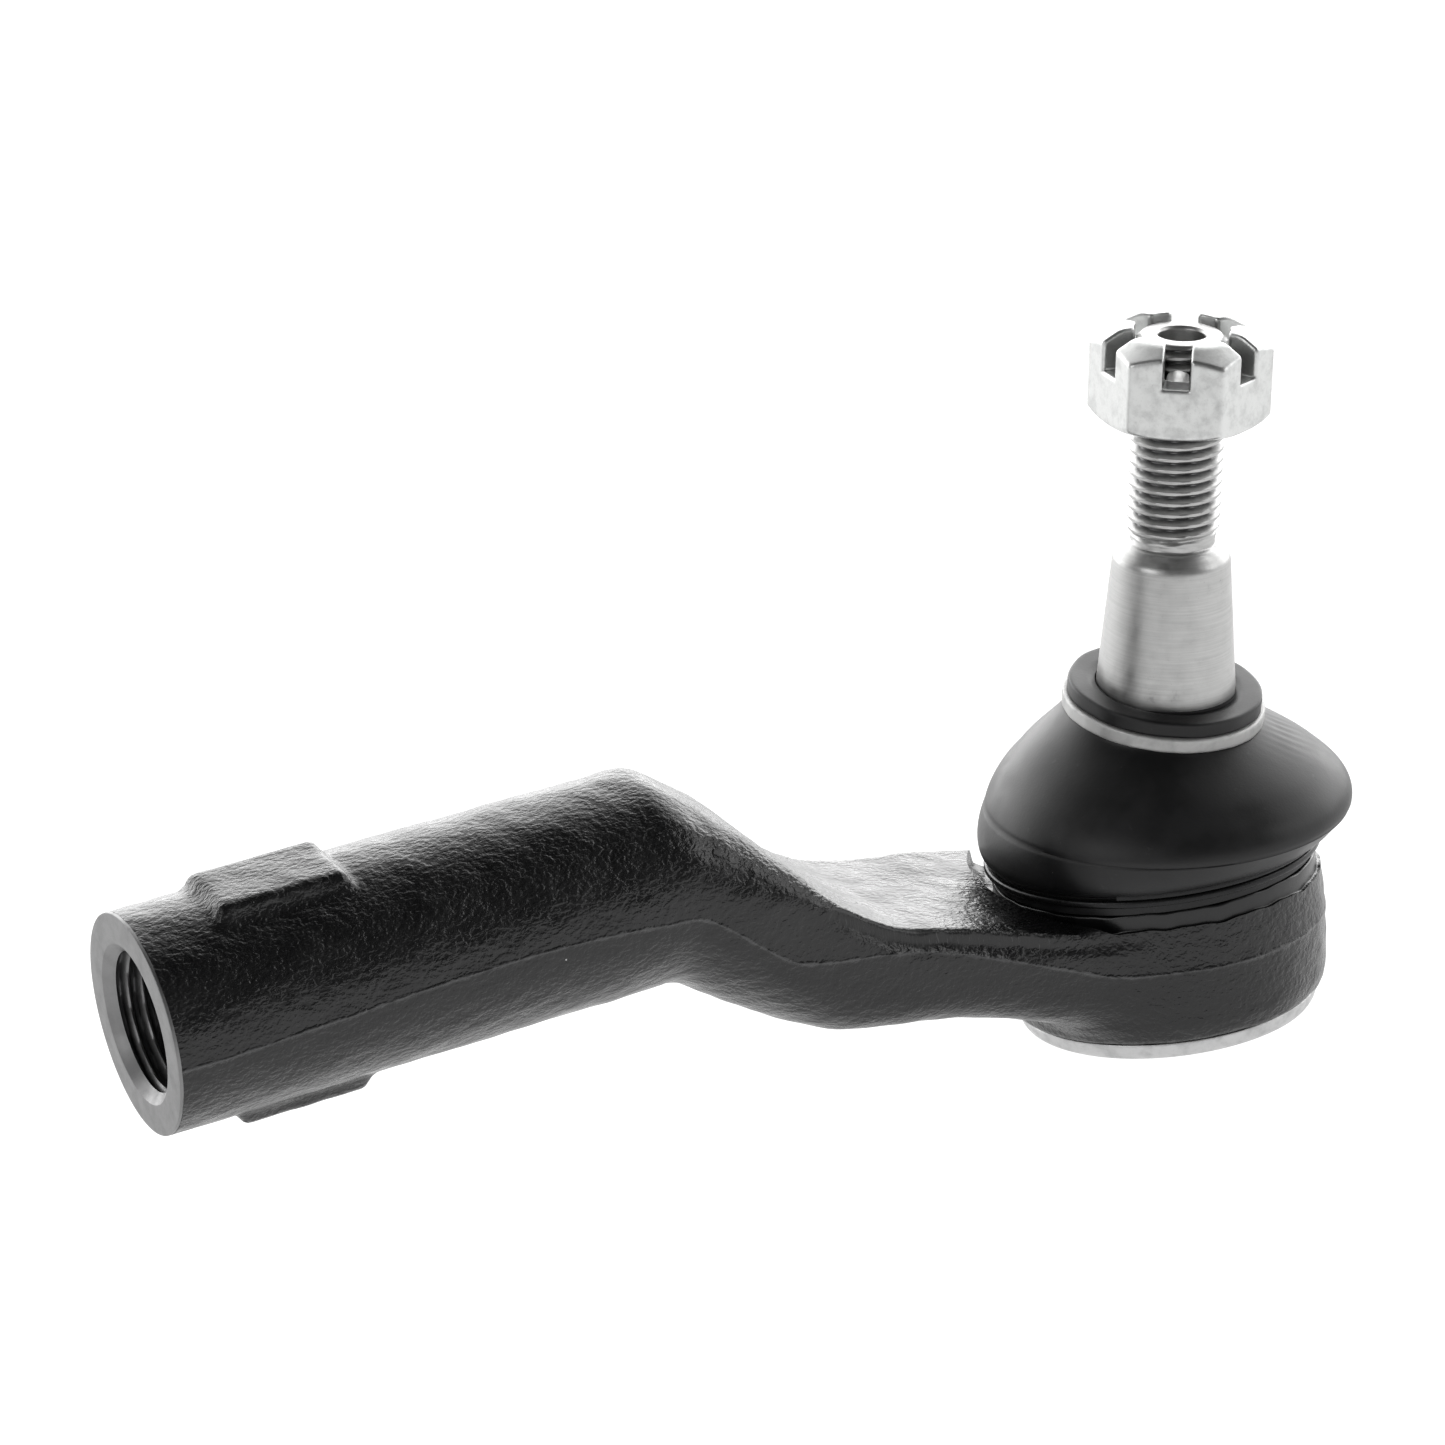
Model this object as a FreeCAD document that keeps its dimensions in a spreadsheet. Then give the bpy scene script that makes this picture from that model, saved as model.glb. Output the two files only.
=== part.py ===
"""Tie rod end: a forged gooseneck housing with a preloaded ball stud, dust boot and slotted nut.

Frame: +Z runs up the axis of the housing's eye, the shank's mouth faces -X, and the origin is on
the eye's axis at the outer face of the cover plate.  The stud leans a little off that axis, as it
does when the joint lies loose.  Lengths are in millimetres and angles in degrees.
"""
import FreeCAD, Part
import math
import os
import Sketcher

Vector = FreeCAD.Vector

# Driving dimensions: alias, value, what it measures.
DIMENSIONS = [
    # the eye of the housing
    ("eye_radius", 18.4, "eye at its parting line"),
    ("eye_parting", 11.0, "height of the parting line round the eye"),
    ("eye_shoulder", 15.3, "height where the raw forging ends and the turned neck starts"),
    ("eye_height", 20.6, "top rim of the eye"),
    ("rim_radius", 17.1, "coated edge above the rolled lip"),
    ("rim_height", 2.2, "height of that edge"),
    ("lip_radius", 15.8, "rolled lip at the bottom of the eye"),
    ("lip_gap", 0.15, "how far the lip stays above the cover's outer face"),
    ("neck_radius", 17.9, "turned neck under the boot clip"),
    ("groove_radius", 16.6, "groove that holds the boot's lower lip"),
    ("groove_low", 17.5, "bottom of that groove"),
    ("groove_high", 19.9, "top of that groove"),
    ("neck_way", 20.9, "room turned free round the neck for the boot and its clip"),
    ("cavity_radius", 13.2, "bore of the eye round the bearings"),
    ("mouth_radius", 10.2, "opening at the top of the eye"),
    ("ball_height", 14.0, "centre of the ball above the cover's face"),
    # the shank
    ("shank_radius", 11.5, "round shank"),
    ("shank_height", 32.8, "height of the shank's axis"),
    ("shank_mouth", 118.4, "distance from the eye's axis to the shank's end face"),
    ("shank_root", 65.0, "where the round shank ends and the gooseneck starts"),
    ("shank_roll", 10.0, "turn of the forging's parting plane about the shank"),
    ("thread_bore", 7.19, "minor radius of the M16 x 1.5 internal thread"),
    ("thread_length", 36.0, "full thread from the mouth"),
    ("chamfer_radius", 8.5, "lead-in chamfer at the mouth"),
    ("pad_start", 9.0, "wrench pad's near edge, from the end face"),
    ("pad_length", 14.2, "wrench pad along the shank"),
    ("pad_width", 9.0, "wrench pad across the shank"),
    ("pad_proud", 1.0, "wrench pad above the round of the shank"),
    # the bearings, the spring and the cover
    ("ball_radius", 11.0, "ball of the stud"),
    ("ball_play", 0.05, "running gap between the ball and its bearings"),
    ("seat_split", 10.7, "height where the two bearings meet"),
    ("cup_floor", 3.4, "underside of the pressure cup"),
    ("cup_hole", 4.2, "grease hole in the pressure cup"),
    ("cover_radius", 13.9, "edge of the cover plate"),
    ("cover_rim", 0.95, "outer face of the cover's rim"),
    ("cover_sheet", 1.3, "thickness of the cover plate"),
    ("cover_dish", 10.2, "flat centre of the cover plate"),
    ("spring_outer", 12.4, "outside of the disc spring"),
    ("spring_inner", 5.6, "inside of the disc spring"),
    ("spring_sheet", 0.65, "thickness of the disc spring"),
    # the ball stud, measured along its own axis from the ball's centre
    ("stud_lean", 9.9, "angle between the stud and the eye's axis"),
    ("lean_heading", -65.5, "compass direction of that lean in the XY plane"),
    ("stud_neck", 5.6, "neck above the ball"),
    ("neck_top", 12.5, "end of the neck"),
    ("collar_seat", 17.0, "start of the cylinder inside the boot's collar"),
    ("taper_big", 7.58, "large end of the 1:6 taper"),
    ("taper_start", 24.9, "large end of the taper"),
    ("taper_small", 6.34, "small end of the taper"),
    ("taper_end", 39.9, "small end of the taper"),
    ("thread_radius", 5.0, "M10 x 1.25 thread"),
    ("relief_radius", 4.55, "run-out groove below the thread"),
    ("thread_start", 44.0, "first full thread"),
    ("stud_end", 64.6, "end face of the stud"),
    ("socket_radius", 2.55, "blind hole in the end face"),
    ("socket_depth", 2.1, "depth of that hole"),
    ("pin_hole_radius", 1.2, "cross hole for a split pin"),
    ("pin_hole_height", 60.9, "cross hole along the stud"),
    # the slotted nut
    ("nut_flat", 8.5, "half of the 17 mm width across flats"),
    ("nut_low", 55.4, "bearing face of the nut along the stud"),
    ("nut_high", 65.3, "top of the nut along the stud"),
    ("nut_bore", 5.05, "bore of the nut"),
    ("nut_heading", -126.9, "direction of one flat about the stud"),
    ("slot_width", 2.8, "slots for the split pin"),
    ("slot_floor", 61.0, "floor of the slots along the stud"),
    # the dust boot, its clip and its ring
    ("boot_low", 17.6, "bottom of the boot's lip"),
    ("boot_lip", 17.7, "boot under the clip"),
    ("boot_waist", 19.9, "height where the bulge starts"),
    ("boot_bulge", 20.2, "largest radius of the boot"),
    ("boot_sway", 1.4, "how far the boot's shoulder stands to one side of the stud"),
    ("sway_heading", -27.9, "compass direction of that sway"),
    ("bulge_height", 10.9, "largest radius, along the stud"),
    ("boot_collar", 10.8, "boot where the ring starts"),
    ("boot_wall", 1.3, "wall of the boot"),
    ("collar_low", 21.6, "lower edge of the ring, along the stud"),
    ("flange_radius", 10.6, "flange above the ring"),
    ("flange_low", 23.25, "underside of the flange, along the stud"),
    ("flange_high", 24.9, "top of the flange, along the stud"),
    ("collar_lean", 14.5, "angle between the collar and the eye's axis"),
    ("ring_radius", 11.1, "outside of the upper ring"),
    ("ring_inner", 10.3, "inside of the upper ring"),
    ("clip_radius", 18.18, "centre line of the clip's wire"),
    ("clip_wire", 0.42, "radius of the clip's wire"),
    ("clip_low", 18.55, "height of the clip's first coil"),
    ("clip_turns", 1.54, "turns of the clip"),
    ("clip_start", 60.0, "direction of the clip's lower end"),
    ("running_gap", 0.3, "clearance between parts that move past each other"),
]

# Stations down the gooseneck and the arm: letter, distance from the eye's axis, top, bottom,
# offset towards +Y, half width, corner radius and roll of the section.
ARM_STATIONS = [
    ("a", 70.0, 44.1, 21.5, 0.0, 11.3, 10.8, 10.0),
    ("b", 62.0, 44.1, 21.4, 0.0, 11.35, 10.8, 10.0),
    ("c", 55.0, 39.4, 17.6, 0.0, 11.4, 9.4, 9.5),
    ("d", 49.5, 34.0, 14.6, 0.2, 11.4, 7.0, 9.0),
    ("e", 44.5, 28.7, 13.1, 0.4, 11.5, 4.8, 8.0),
    ("f", 39.0, 24.8, 12.2, 0.7, 11.8, 3.6, 7.0),
    ("g", 32.0, 22.5, 10.6, 0.9, 12.1, 3.0, 6.5),
    ("h", 25.0, 20.8, 8.4, 1.1, 12.6, 3.0, 8.0),
    ("i", 18.5, 19.0, 6.2, 1.3, 13.6, 3.0, 8.0),
    ("j", 11.0, 17.4, 4.8, 0.6, 14.0, 3.0, 4.0),
]
STATION_FIELDS = ("along", "top", "bottom", "offset", "half", "corner", "roll")


def fill_sheet(doc):
    """Put every driving dimension in the spreadsheet and return the sheet."""
    sheet = doc.addObject("Spreadsheet::Sheet", "Sizes")
    rows = list(DIMENSIONS)
    for station in ARM_STATIONS:
        for field, value in zip(STATION_FIELDS, station[1:]):
            rows.append((f"arm_{field}_{station[0]}", value, f"arm station {station[0]}: {field}"))
    for row, (alias, value, note) in enumerate(rows, start=1):
        sheet.set(f"A{row}", str(value))
        sheet.set(f"B{row}", note)
        sheet.setAlias(f"A{row}", alias)
    doc.recompute()
    return sheet


def bind(thing, path, expression):
    """Drive one property by an expression on the sheet's aliases, written as $alias."""
    thing.setExpression(path, expression.replace("$", "Sizes."))


def value_of(thing, expression):
    """Work out an expression on the sheet's aliases, written as $alias."""
    result = thing.evalExpression(expression.replace("$", "Sizes."))
    return float(getattr(result, "Value", result))


def new_body(doc, name):
    """A part design body whose label is the sub-part's name."""
    body = doc.addObject("PartDesign::Body", name)
    body.Label = name
    return body


def origin_feature(body, role):
    """One of the body's own origin planes or axes."""
    return next(item for item in body.Origin.OriginFeatures if item.Role == role)


def new_sketch(body, name, role):
    """An empty sketch on one of the body's origin planes."""
    sketch = body.newObject("Sketcher::SketchObject", name)
    sketch.AttachmentSupport = (origin_feature(body, role), [""])
    sketch.MapMode = "FlatFace"
    return sketch


def hold_point(sketch, geometry, point, across, up):
    """Fix one point of a sketch at two expressions."""
    for kind, axis, expression in (("DistanceX", -2, across), ("DistanceY", -1, up)):
        value = value_of(sketch, expression)
        if abs(value) < 1e-9:
            sketch.addConstraint(Sketcher.Constraint("PointOnObject", geometry, point, axis))
            continue
        index = sketch.addConstraint(Sketcher.Constraint(kind, -1, 1, geometry, point, value))
        bind(sketch, f"Constraints[{index}]", expression)


def draw_outline(sketch, corners):
    """Draw a closed outline of straight lines through corners given as pairs of expressions."""
    places = [Vector(value_of(sketch, across), value_of(sketch, up), 0) for across, up in corners]
    count = len(places)
    for index in range(count):
        sketch.addGeometry(Part.LineSegment(places[index], places[(index + 1) % count]), False)
    for index in range(count):
        following = (index + 1) % count
        sketch.addConstraint(Sketcher.Constraint("Coincident", index, 2, following, 1))
    for index, (across, up) in enumerate(corners):
        hold_point(sketch, index, 1, across, up)


def turn(body, name, corners, kind="PartDesign::Revolution"):
    """Revolve an outline of (radius, height) corners about the body's Z axis, or cut it away."""
    sketch = new_sketch(body, name + "_outline", "XZ_Plane")
    draw_outline(sketch, corners)
    feature = body.newObject(kind, name)
    feature.Profile = sketch
    feature.ReferenceAxis = (origin_feature(body, "Z_Axis"), [""])
    feature.Angle = 360.0
    return feature


def turned_body(doc, name, corners):
    """A body that is one revolved outline."""
    body = new_body(doc, name)
    turn(body, name + "_turned", corners)
    return body


def lean_placement(thing, angle, along="0"):
    """Tilt an object about the ball's centre in the lean's plane, and move it along the stud."""
    heading = "$lean_heading"
    axis = f"vector(-sin({heading}); cos({heading}); 0)"
    level = "$ball_height"
    reach = f"({along}) * sin($stud_lean)"
    place = (f"vector({reach} * cos({heading}); {reach} * sin({heading}); "
             f"{level} + ({along}) * cos($stud_lean))")
    bind(thing, "Placement", f"placement({place}; rotation({axis}; {angle}))")


# ---------------------------------------------------------------- housing

def draw_section(sketch, half, rise, corner):
    """Draw a rectangle with rounded corners, centred on the sketch's origin."""
    width, height, radius = (value_of(sketch, text) for text in (half, rise, corner))
    inner_x, inner_y = width - radius, height - radius
    lines = [
        ((inner_x, height), (-inner_x, height)),
        ((-width, inner_y), (-width, -inner_y)),
        ((-inner_x, -height), (inner_x, -height)),
        ((width, -inner_y), (width, inner_y)),
    ]
    centres = [(-inner_x, inner_y), (-inner_x, -inner_y), (inner_x, -inner_y), (inner_x, inner_y)]
    for index in range(4):
        start, end = lines[index]
        sketch.addGeometry(Part.LineSegment(Vector(*start, 0), Vector(*end, 0)), False)
        circle = Part.Circle(Vector(*centres[index], 0), Vector(0, 0, 1), radius)
        first = math.pi / 2 * (index + 1)
        sketch.addGeometry(Part.ArcOfCircle(circle, first, first + math.pi / 2), False)
    for index in range(4):
        line, arc = 2 * index, 2 * index + 1
        following = (line + 2) % 8
        sketch.addConstraint(Sketcher.Constraint("Tangent", line, 2, arc, 1))
        sketch.addConstraint(Sketcher.Constraint("Tangent", arc, 2, following, 1))
        level = "Horizontal" if index % 2 == 0 else "Vertical"
        sketch.addConstraint(Sketcher.Constraint(level, line))
    for arc in (3, 5, 7):
        sketch.addConstraint(Sketcher.Constraint("Equal", 1, arc))
    index = sketch.addConstraint(Sketcher.Constraint("Radius", 1, radius))
    bind(sketch, f"Constraints[{index}]", corner)
    sides = ((0, "DistanceY", rise), (2, "DistanceX", f"-({half})"),
             (4, "DistanceY", f"-({rise})"), (6, "DistanceX", half))
    for line, kind, expression in sides:
        value = value_of(sketch, expression)
        index = sketch.addConstraint(Sketcher.Constraint(kind, -1, 1, line, 1, value))
        bind(sketch, f"Constraints[{index}]", expression)


def add_arm(body):
    """Loft the gooseneck and the arm through their stations."""
    sections = []
    for letter in (station[0] for station in ARM_STATIONS):
        sketch = new_sketch(body, f"arm_section_{letter}", "YZ_Plane")
        bind(sketch, "AttachmentOffset.Base.x", f"$arm_offset_{letter}")
        bind(sketch, "AttachmentOffset.Base.y", f"($arm_top_{letter} + $arm_bottom_{letter}) / 2")
        bind(sketch, "AttachmentOffset.Base.z", f"-$arm_along_{letter}")
        bind(sketch, "AttachmentOffset.Rotation.Angle", f"$arm_roll_{letter}")
        rise = f"(($arm_top_{letter} - $arm_bottom_{letter}) / 2)"
        draw_section(sketch, f"$arm_half_{letter}", rise, f"$arm_corner_{letter}")
        sections.append(sketch)
    loft = body.newObject("PartDesign::AdditiveLoft", "arm")
    loft.Profile = sections[0]
    loft.Sections = sections[1:]
    loft.Ruled = False


def add_shank(body):
    """Pad the round shank from the gooseneck to its mouth."""
    sketch = new_sketch(body, "shank_circle", "YZ_Plane")
    bind(sketch, "AttachmentOffset.Base.z", "-$shank_mouth")
    radius, height = value_of(sketch, "$shank_radius"), value_of(sketch, "$shank_height")
    sketch.addGeometry(Part.Circle(Vector(0, height, 0), Vector(0, 0, 1), radius), False)
    index = sketch.addConstraint(Sketcher.Constraint("Radius", 0, radius))
    bind(sketch, f"Constraints[{index}]", "$shank_radius")
    hold_point(sketch, 0, 3, "0", "$shank_height")
    pad = body.newObject("PartDesign::Pad", "shank")
    pad.Profile = sketch
    bind(pad, "Length", "$shank_mouth - $shank_root")


def add_wrench_pads(body):
    """Pad one flat block through the shank, so that a wrench pad stands out above and below."""
    sketch = new_sketch(body, "wrench_pad_outline", "YZ_Plane")
    bind(sketch, "AttachmentOffset.Base.y", "$shank_height")
    bind(sketch, "AttachmentOffset.Base.z", "-$shank_mouth + $pad_start")
    bind(sketch, "AttachmentOffset.Rotation.Angle", "$shank_roll")
    half, rise = "($pad_width / 2)", "($shank_radius + $pad_proud)"
    draw_outline(sketch, [(half, rise), (f"-{half}", rise), (f"-{half}", f"-{rise}"), (half, f"-{rise}")])
    pad = body.newObject("PartDesign::Pad", "wrench_pads")
    pad.Profile = sketch
    bind(pad, "Length", "$pad_length")


def add_eye(body):
    """Revolve the outside of the eye, from the rolled lip up to the boot's groove."""
    turn(body, "eye", [
        ("0", "$lip_gap"),
        ("$lip_radius - 0.7", "$lip_gap"),
        ("$lip_radius", "$lip_gap + 0.3"),
        ("$rim_radius", "$rim_height"),
        ("$rim_radius + 0.6", "$rim_height + 1.2"),
        ("$eye_radius", "$eye_parting"),
        ("$eye_radius", "$eye_shoulder"),
        ("$neck_radius", "$eye_shoulder + 0.4"),
        ("$neck_radius", "$groove_low"),
        ("$groove_radius", "$groove_low"),
        ("$groove_radius", "$groove_high"),
        ("$groove_radius + 0.3", "$groove_high + 0.3"),
        ("$groove_radius", "$eye_height"),
        ("0", "$eye_height"),
    ])


def cut_neck(body):
    """Turn the top of the forging free round the neck, and leave the groove for the boot's lip."""
    turn(body, "neck", [
        ("$neck_radius", "$eye_shoulder + 0.4"),
        ("$neck_way - 1.7", "$eye_shoulder + 0.4"),
        ("$neck_way", "$groove_low + 0.1"),
        ("$neck_way", "$eye_height + 10"),
        ("$groove_radius", "$eye_height + 10"),
        ("$groove_radius", "$eye_height"),
        ("$groove_radius + 0.3", "$groove_high + 0.3"),
        ("$groove_radius", "$groove_high"),
        ("$groove_radius", "$groove_low"),
        ("$neck_radius", "$groove_low"),
    ], "PartDesign::Groove")


def cut_cavity(body):
    """Cut the bore for the bearings, the seat of the cover plate and the opening for the stud."""
    turn(body, "cavity", [
        ("0", "-1"),
        ("$cover_radius - 1", "-1"),
        ("$cover_radius - 1", "$cover_rim - 0.05"),
        ("$cover_radius + 0.05", "$cover_rim - 0.05"),
        ("$cover_radius + 0.05", "$cover_rim + $cover_sheet + 0.05"),
        ("$cavity_radius", "$cover_rim + $cover_sheet + 0.05"),
        ("$cavity_radius", "$ball_height + 2"),
        ("$mouth_radius", "$ball_height + 5"),
        ("$mouth_radius", "$eye_height + 1"),
        ("0", "$eye_height + 1"),
    ], "PartDesign::Groove")


def cut_thread_bore(body):
    """Cut the internal thread's bore and its chamfer along the shank's axis."""
    sketch = new_sketch(body, "thread_bore_outline", "XZ_Plane")
    mouth, level = "-$shank_mouth", "$shank_height"
    draw_outline(sketch, [
        (f"{mouth} - 1", level),
        (f"{mouth} - 1", f"{level} + $chamfer_radius + 1"),
        (mouth, f"{level} + $chamfer_radius"),
        (f"{mouth} + $chamfer_radius - $thread_bore", f"{level} + $thread_bore"),
        (f"{mouth} + $thread_length + 4", f"{level} + $thread_bore"),
        (f"{mouth} + $thread_length + 8", level),
    ])
    groove = body.newObject("PartDesign::Groove", "thread_bore_cut")
    groove.Profile = sketch
    groove.ReferenceAxis = (sketch, ["Edge6"])
    groove.Angle = 360.0


def make_housing(doc):
    """The forged housing: shank, gooseneck, arm and eye in one piece of steel."""
    body = new_body(doc, "housing")
    add_arm(body)
    add_shank(body)
    add_wrench_pads(body)
    add_eye(body)
    cut_neck(body)
    cut_cavity(body)
    cut_thread_bore(body)
    return body


# ---------------------------------------------------------------- bearings, spring and cover

def hollow_for_ball(doc, name, blank):
    """Cut the ball's running surface out of a turned blank."""
    ball = doc.addObject("Part::Sphere", name + "_hollow")
    bind(ball, "Radius", "$ball_radius + $ball_play")
    bind(ball, "Placement.Base.z", "$ball_height")
    cut = doc.addObject("Part::Cut", name)
    cut.Label = name
    cut.Base = blank
    cut.Tool = ball
    return cut


def make_bearing_seat(doc):
    """The upper bearing of acetal, which fills the top of the cavity above the ball's middle."""
    outer = "($cavity_radius - 0.03)"
    blank = turned_body(doc, "bearing_seat_blank", [
        ("0", "$seat_split + 0.1"),
        (outer, "$seat_split + 0.1"),
        (outer, "$ball_height + 1.97"),
        ("$mouth_radius - 0.05", "$ball_height + 4.95"),
        ("$mouth_radius - 0.05", "$ball_height + 5.4"),
        ("0", "$ball_height + 5.4"),
    ])
    return hollow_for_ball(doc, "bearing_seat", blank)


def make_pressure_cup(doc):
    """The lower bearing, which the spring pushes up against the ball."""
    outer = "($cavity_radius - 0.03)"
    blank = turned_body(doc, "pressure_cup_blank", [
        ("$cup_hole", "$cup_floor"),
        (f"{outer} - 0.3", "$cup_floor"),
        (outer, "$cup_floor + 0.3"),
        (outer, "$seat_split"),
        ("$cup_hole", "$seat_split"),
    ])
    return hollow_for_ball(doc, "pressure_cup", blank)


def make_preload_spring(doc):
    """The disc spring between the cover plate and the pressure cup."""
    low = "($cover_rim + $cover_sheet + 0.02)"
    high = "($cup_floor - 0.02)"
    return turned_body(doc, "preload_spring", [
        ("$spring_outer", low),
        ("$spring_outer", f"{low} + $spring_sheet"),
        ("$spring_inner", high),
        ("$spring_inner", f"{high} - $spring_sheet"),
    ])


def make_cover_plate(doc):
    """The pressed plate that closes the eye and is held by the rolled lip."""
    return turned_body(doc, "cover_plate", [
        ("0", "0"),
        ("$cover_dish", "0"),
        ("$cover_dish + 0.9", "$cover_rim"),
        ("$cover_radius", "$cover_rim"),
        ("$cover_radius", "$cover_rim + $cover_sheet"),
        ("$cover_dish + 0.3", "$cover_rim + $cover_sheet"),
        ("$cover_dish - 0.6", "$cover_sheet"),
        ("0", "$cover_sheet"),
    ])


# ---------------------------------------------------------------- ball stud and nut

def make_ball_stud(doc):
    """The stud: ball, neck, boot seat, 1:6 taper and M10 thread with a cross hole for a split pin."""
    shaft = turned_body(doc, "stud_shaft", [
        ("0", "5"),
        ("$stud_neck", "5"),
        ("$stud_neck", "$neck_top"),
        ("$taper_big", "$collar_seat"),
        ("$taper_big", "$taper_start"),
        ("$taper_small", "$taper_end"),
        ("$relief_radius", "$taper_end + 1.9"),
        ("$relief_radius", "$thread_start - 0.5"),
        ("$thread_radius", "$thread_start"),
        ("$thread_radius", "$stud_end - 0.7"),
        ("$thread_radius - 0.7", "$stud_end"),
        ("$socket_radius", "$stud_end"),
        ("$socket_radius", "$stud_end - $socket_depth"),
        ("0", "$stud_end - $socket_depth - 0.6"),
    ])
    ball = doc.addObject("Part::Sphere", "stud_ball")
    bind(ball, "Radius", "$ball_radius")
    joined = doc.addObject("Part::Fuse", "stud_blank")
    joined.Base = ball
    joined.Tool = shaft
    hole = doc.addObject("Part::Cylinder", "pin_hole")
    bind(hole, "Radius", "$pin_hole_radius")
    hole.Height = 20.0
    middle = "-10 * "
    bind(hole, "Placement", f"placement(vector({middle}cos($nut_heading); {middle}sin($nut_heading); "
         "$pin_hole_height); rotation(vector(-sin($nut_heading); cos($nut_heading); 0); 90))")
    stud = doc.addObject("Part::Cut", "ball_stud")
    stud.Label = "ball_stud"
    stud.Base = joined
    stud.Tool = hole
    lean_placement(stud, "$stud_lean")
    return stud


def make_slotted_nut(doc):
    """The M10 slotted nut: a chamfered hexagon with three slots right across it."""
    body = new_body(doc, "slotted_nut")
    outline = new_sketch(body, "nut_hexagon", "XY_Plane")
    bind(outline, "AttachmentOffset.Base.z", "$nut_low")
    corner = "$nut_flat / cos(30)"
    turns = [f"(30 + {60 * side} + $nut_heading)" for side in range(6)]
    draw_outline(outline, [(f"{corner} * cos({angle})", f"{corner} * sin({angle})") for angle in turns])
    hexagon = body.newObject("PartDesign::Pad", "hexagon")
    hexagon.Profile = outline
    bind(hexagon, "Length", "$nut_high - $nut_low")
    edge = "($nut_flat / cos(30) + 0.5)"
    turn(body, "top_chamfer", [
        ("6.5", "$nut_high + 0.01"),
        (edge, f"$nut_high - ({edge} - 6.5) * 0.57"),
        (edge, "$nut_high + 1"),
        ("6.5", "$nut_high + 1"),
    ], "PartDesign::Groove")
    turn(body, "bottom_chamfer", [
        ("$nut_flat", "$nut_low"),
        (edge, f"$nut_low + ({edge} - $nut_flat) * 0.55"),
        (edge, "$nut_low - 1"),
        ("$nut_flat", "$nut_low - 1"),
    ], "PartDesign::Groove")
    turn(body, "nut_bore_cut", [
        ("0", "$nut_low - 1"),
        ("$nut_bore", "$nut_low - 1"),
        ("$nut_bore", "$nut_high + 1"),
        ("0", "$nut_high + 1"),
    ], "PartDesign::Groove")
    slot_outline = new_sketch(body, "slot_outline", "XY_Plane")
    bind(slot_outline, "AttachmentOffset.Base.z", "$slot_floor")
    bind(slot_outline, "AttachmentOffset.Rotation.Angle", "$nut_heading")
    half = "($slot_width / 2)"
    draw_outline(slot_outline, [("12", half), ("-12", half), ("-12", f"-{half}"), ("12", f"-{half}")])
    slot = body.newObject("PartDesign::Pocket", "slot")
    slot.Profile = slot_outline
    slot.Reversed = True
    slot.Length = 8.0
    doc.recompute()
    slots = body.newObject("PartDesign::PolarPattern", "slots")
    slots.Originals = [slot]
    slots.Axis = (origin_feature(body, "Z_Axis"), [""])
    slots.Angle = 360.0
    slots.Occurrences = 3
    body.Tip = slots
    lean_placement(body, "$stud_lean")
    return body


# ---------------------------------------------------------------- dust boot, clip and ring

def boot_stations(sheet, wall):
    """Radius, distance along the stud and share of the lean for each ring of the boot's surface."""
    low, waist = sheet.boot_low - sheet.ball_height, sheet.boot_waist - sheet.ball_height
    bulge, top = sheet.bulge_height, sheet.collar_low - 0.04
    lip = sheet.boot_lip if wall == 0 else sheet.groove_radius + 0.15
    stations = [(lip, low + (waist - low) * step / 4, 0.0) for step in range(5)]
    for share in (0.12, 0.35, 0.7, 1.0):
        swell = (1 - (1 - share) ** 3) ** (1 / 3)
        radius = sheet.boot_lip + (sheet.boot_bulge - sheet.boot_lip) * swell - wall
        stations.append((radius, waist + (bulge - waist) * share, 0.43 * share))
    for angle in (20, 38, 54, 68, 80):
        turned = math.radians(angle)
        radius = sheet.boot_collar + (sheet.boot_bulge - sheet.boot_collar) * math.cos(turned) ** 1.65
        along = bulge + (top - bulge) * math.sin(turned)
        stations.append((radius - wall, along - 0.4 * wall * math.sin(turned), 0.43 + 0.57 * angle / 90))
    return stations + [(sheet.boot_collar - wall, top, 1.0)]


def boot_ring(sheet, radius, along, share):
    """One circle round the bent centre line of the boot, which ends on the collar's own axis."""
    heading = math.radians(sheet.lean_heading)
    lean = math.radians(sheet.collar_lean * share)
    stud = math.radians(sheet.stud_lean)
    settle = min(1.0, share / 0.43)
    slip = (sheet.flange_high - sheet.collar_low) * max(0.0, (share - 0.43) / 0.57)
    reach = along * math.sin(stud) * settle + slip * (math.sin(stud) - math.sin(lean))
    rise = along * (1 - (1 - math.cos(stud)) * settle) + slip * (math.cos(stud) - math.cos(lean))
    waist, top = sheet.boot_waist - sheet.ball_height, sheet.collar_low - 0.04
    height = min(1.0, max(0.0, (along - waist) / (top - waist)))
    sway = sheet.boot_sway * math.sin(math.pi * height ** 1.5)
    side = math.radians(sheet.sway_heading)
    centre = Vector(reach * math.cos(heading) + sway * math.cos(side),
                    reach * math.sin(heading) + sway * math.sin(side), sheet.ball_height + rise)
    normal = Vector(math.sin(lean) * math.cos(heading), math.sin(lean) * math.sin(heading), math.cos(lean))
    return Part.Wire(Part.Circle(centre, normal, radius).toShape())


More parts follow.
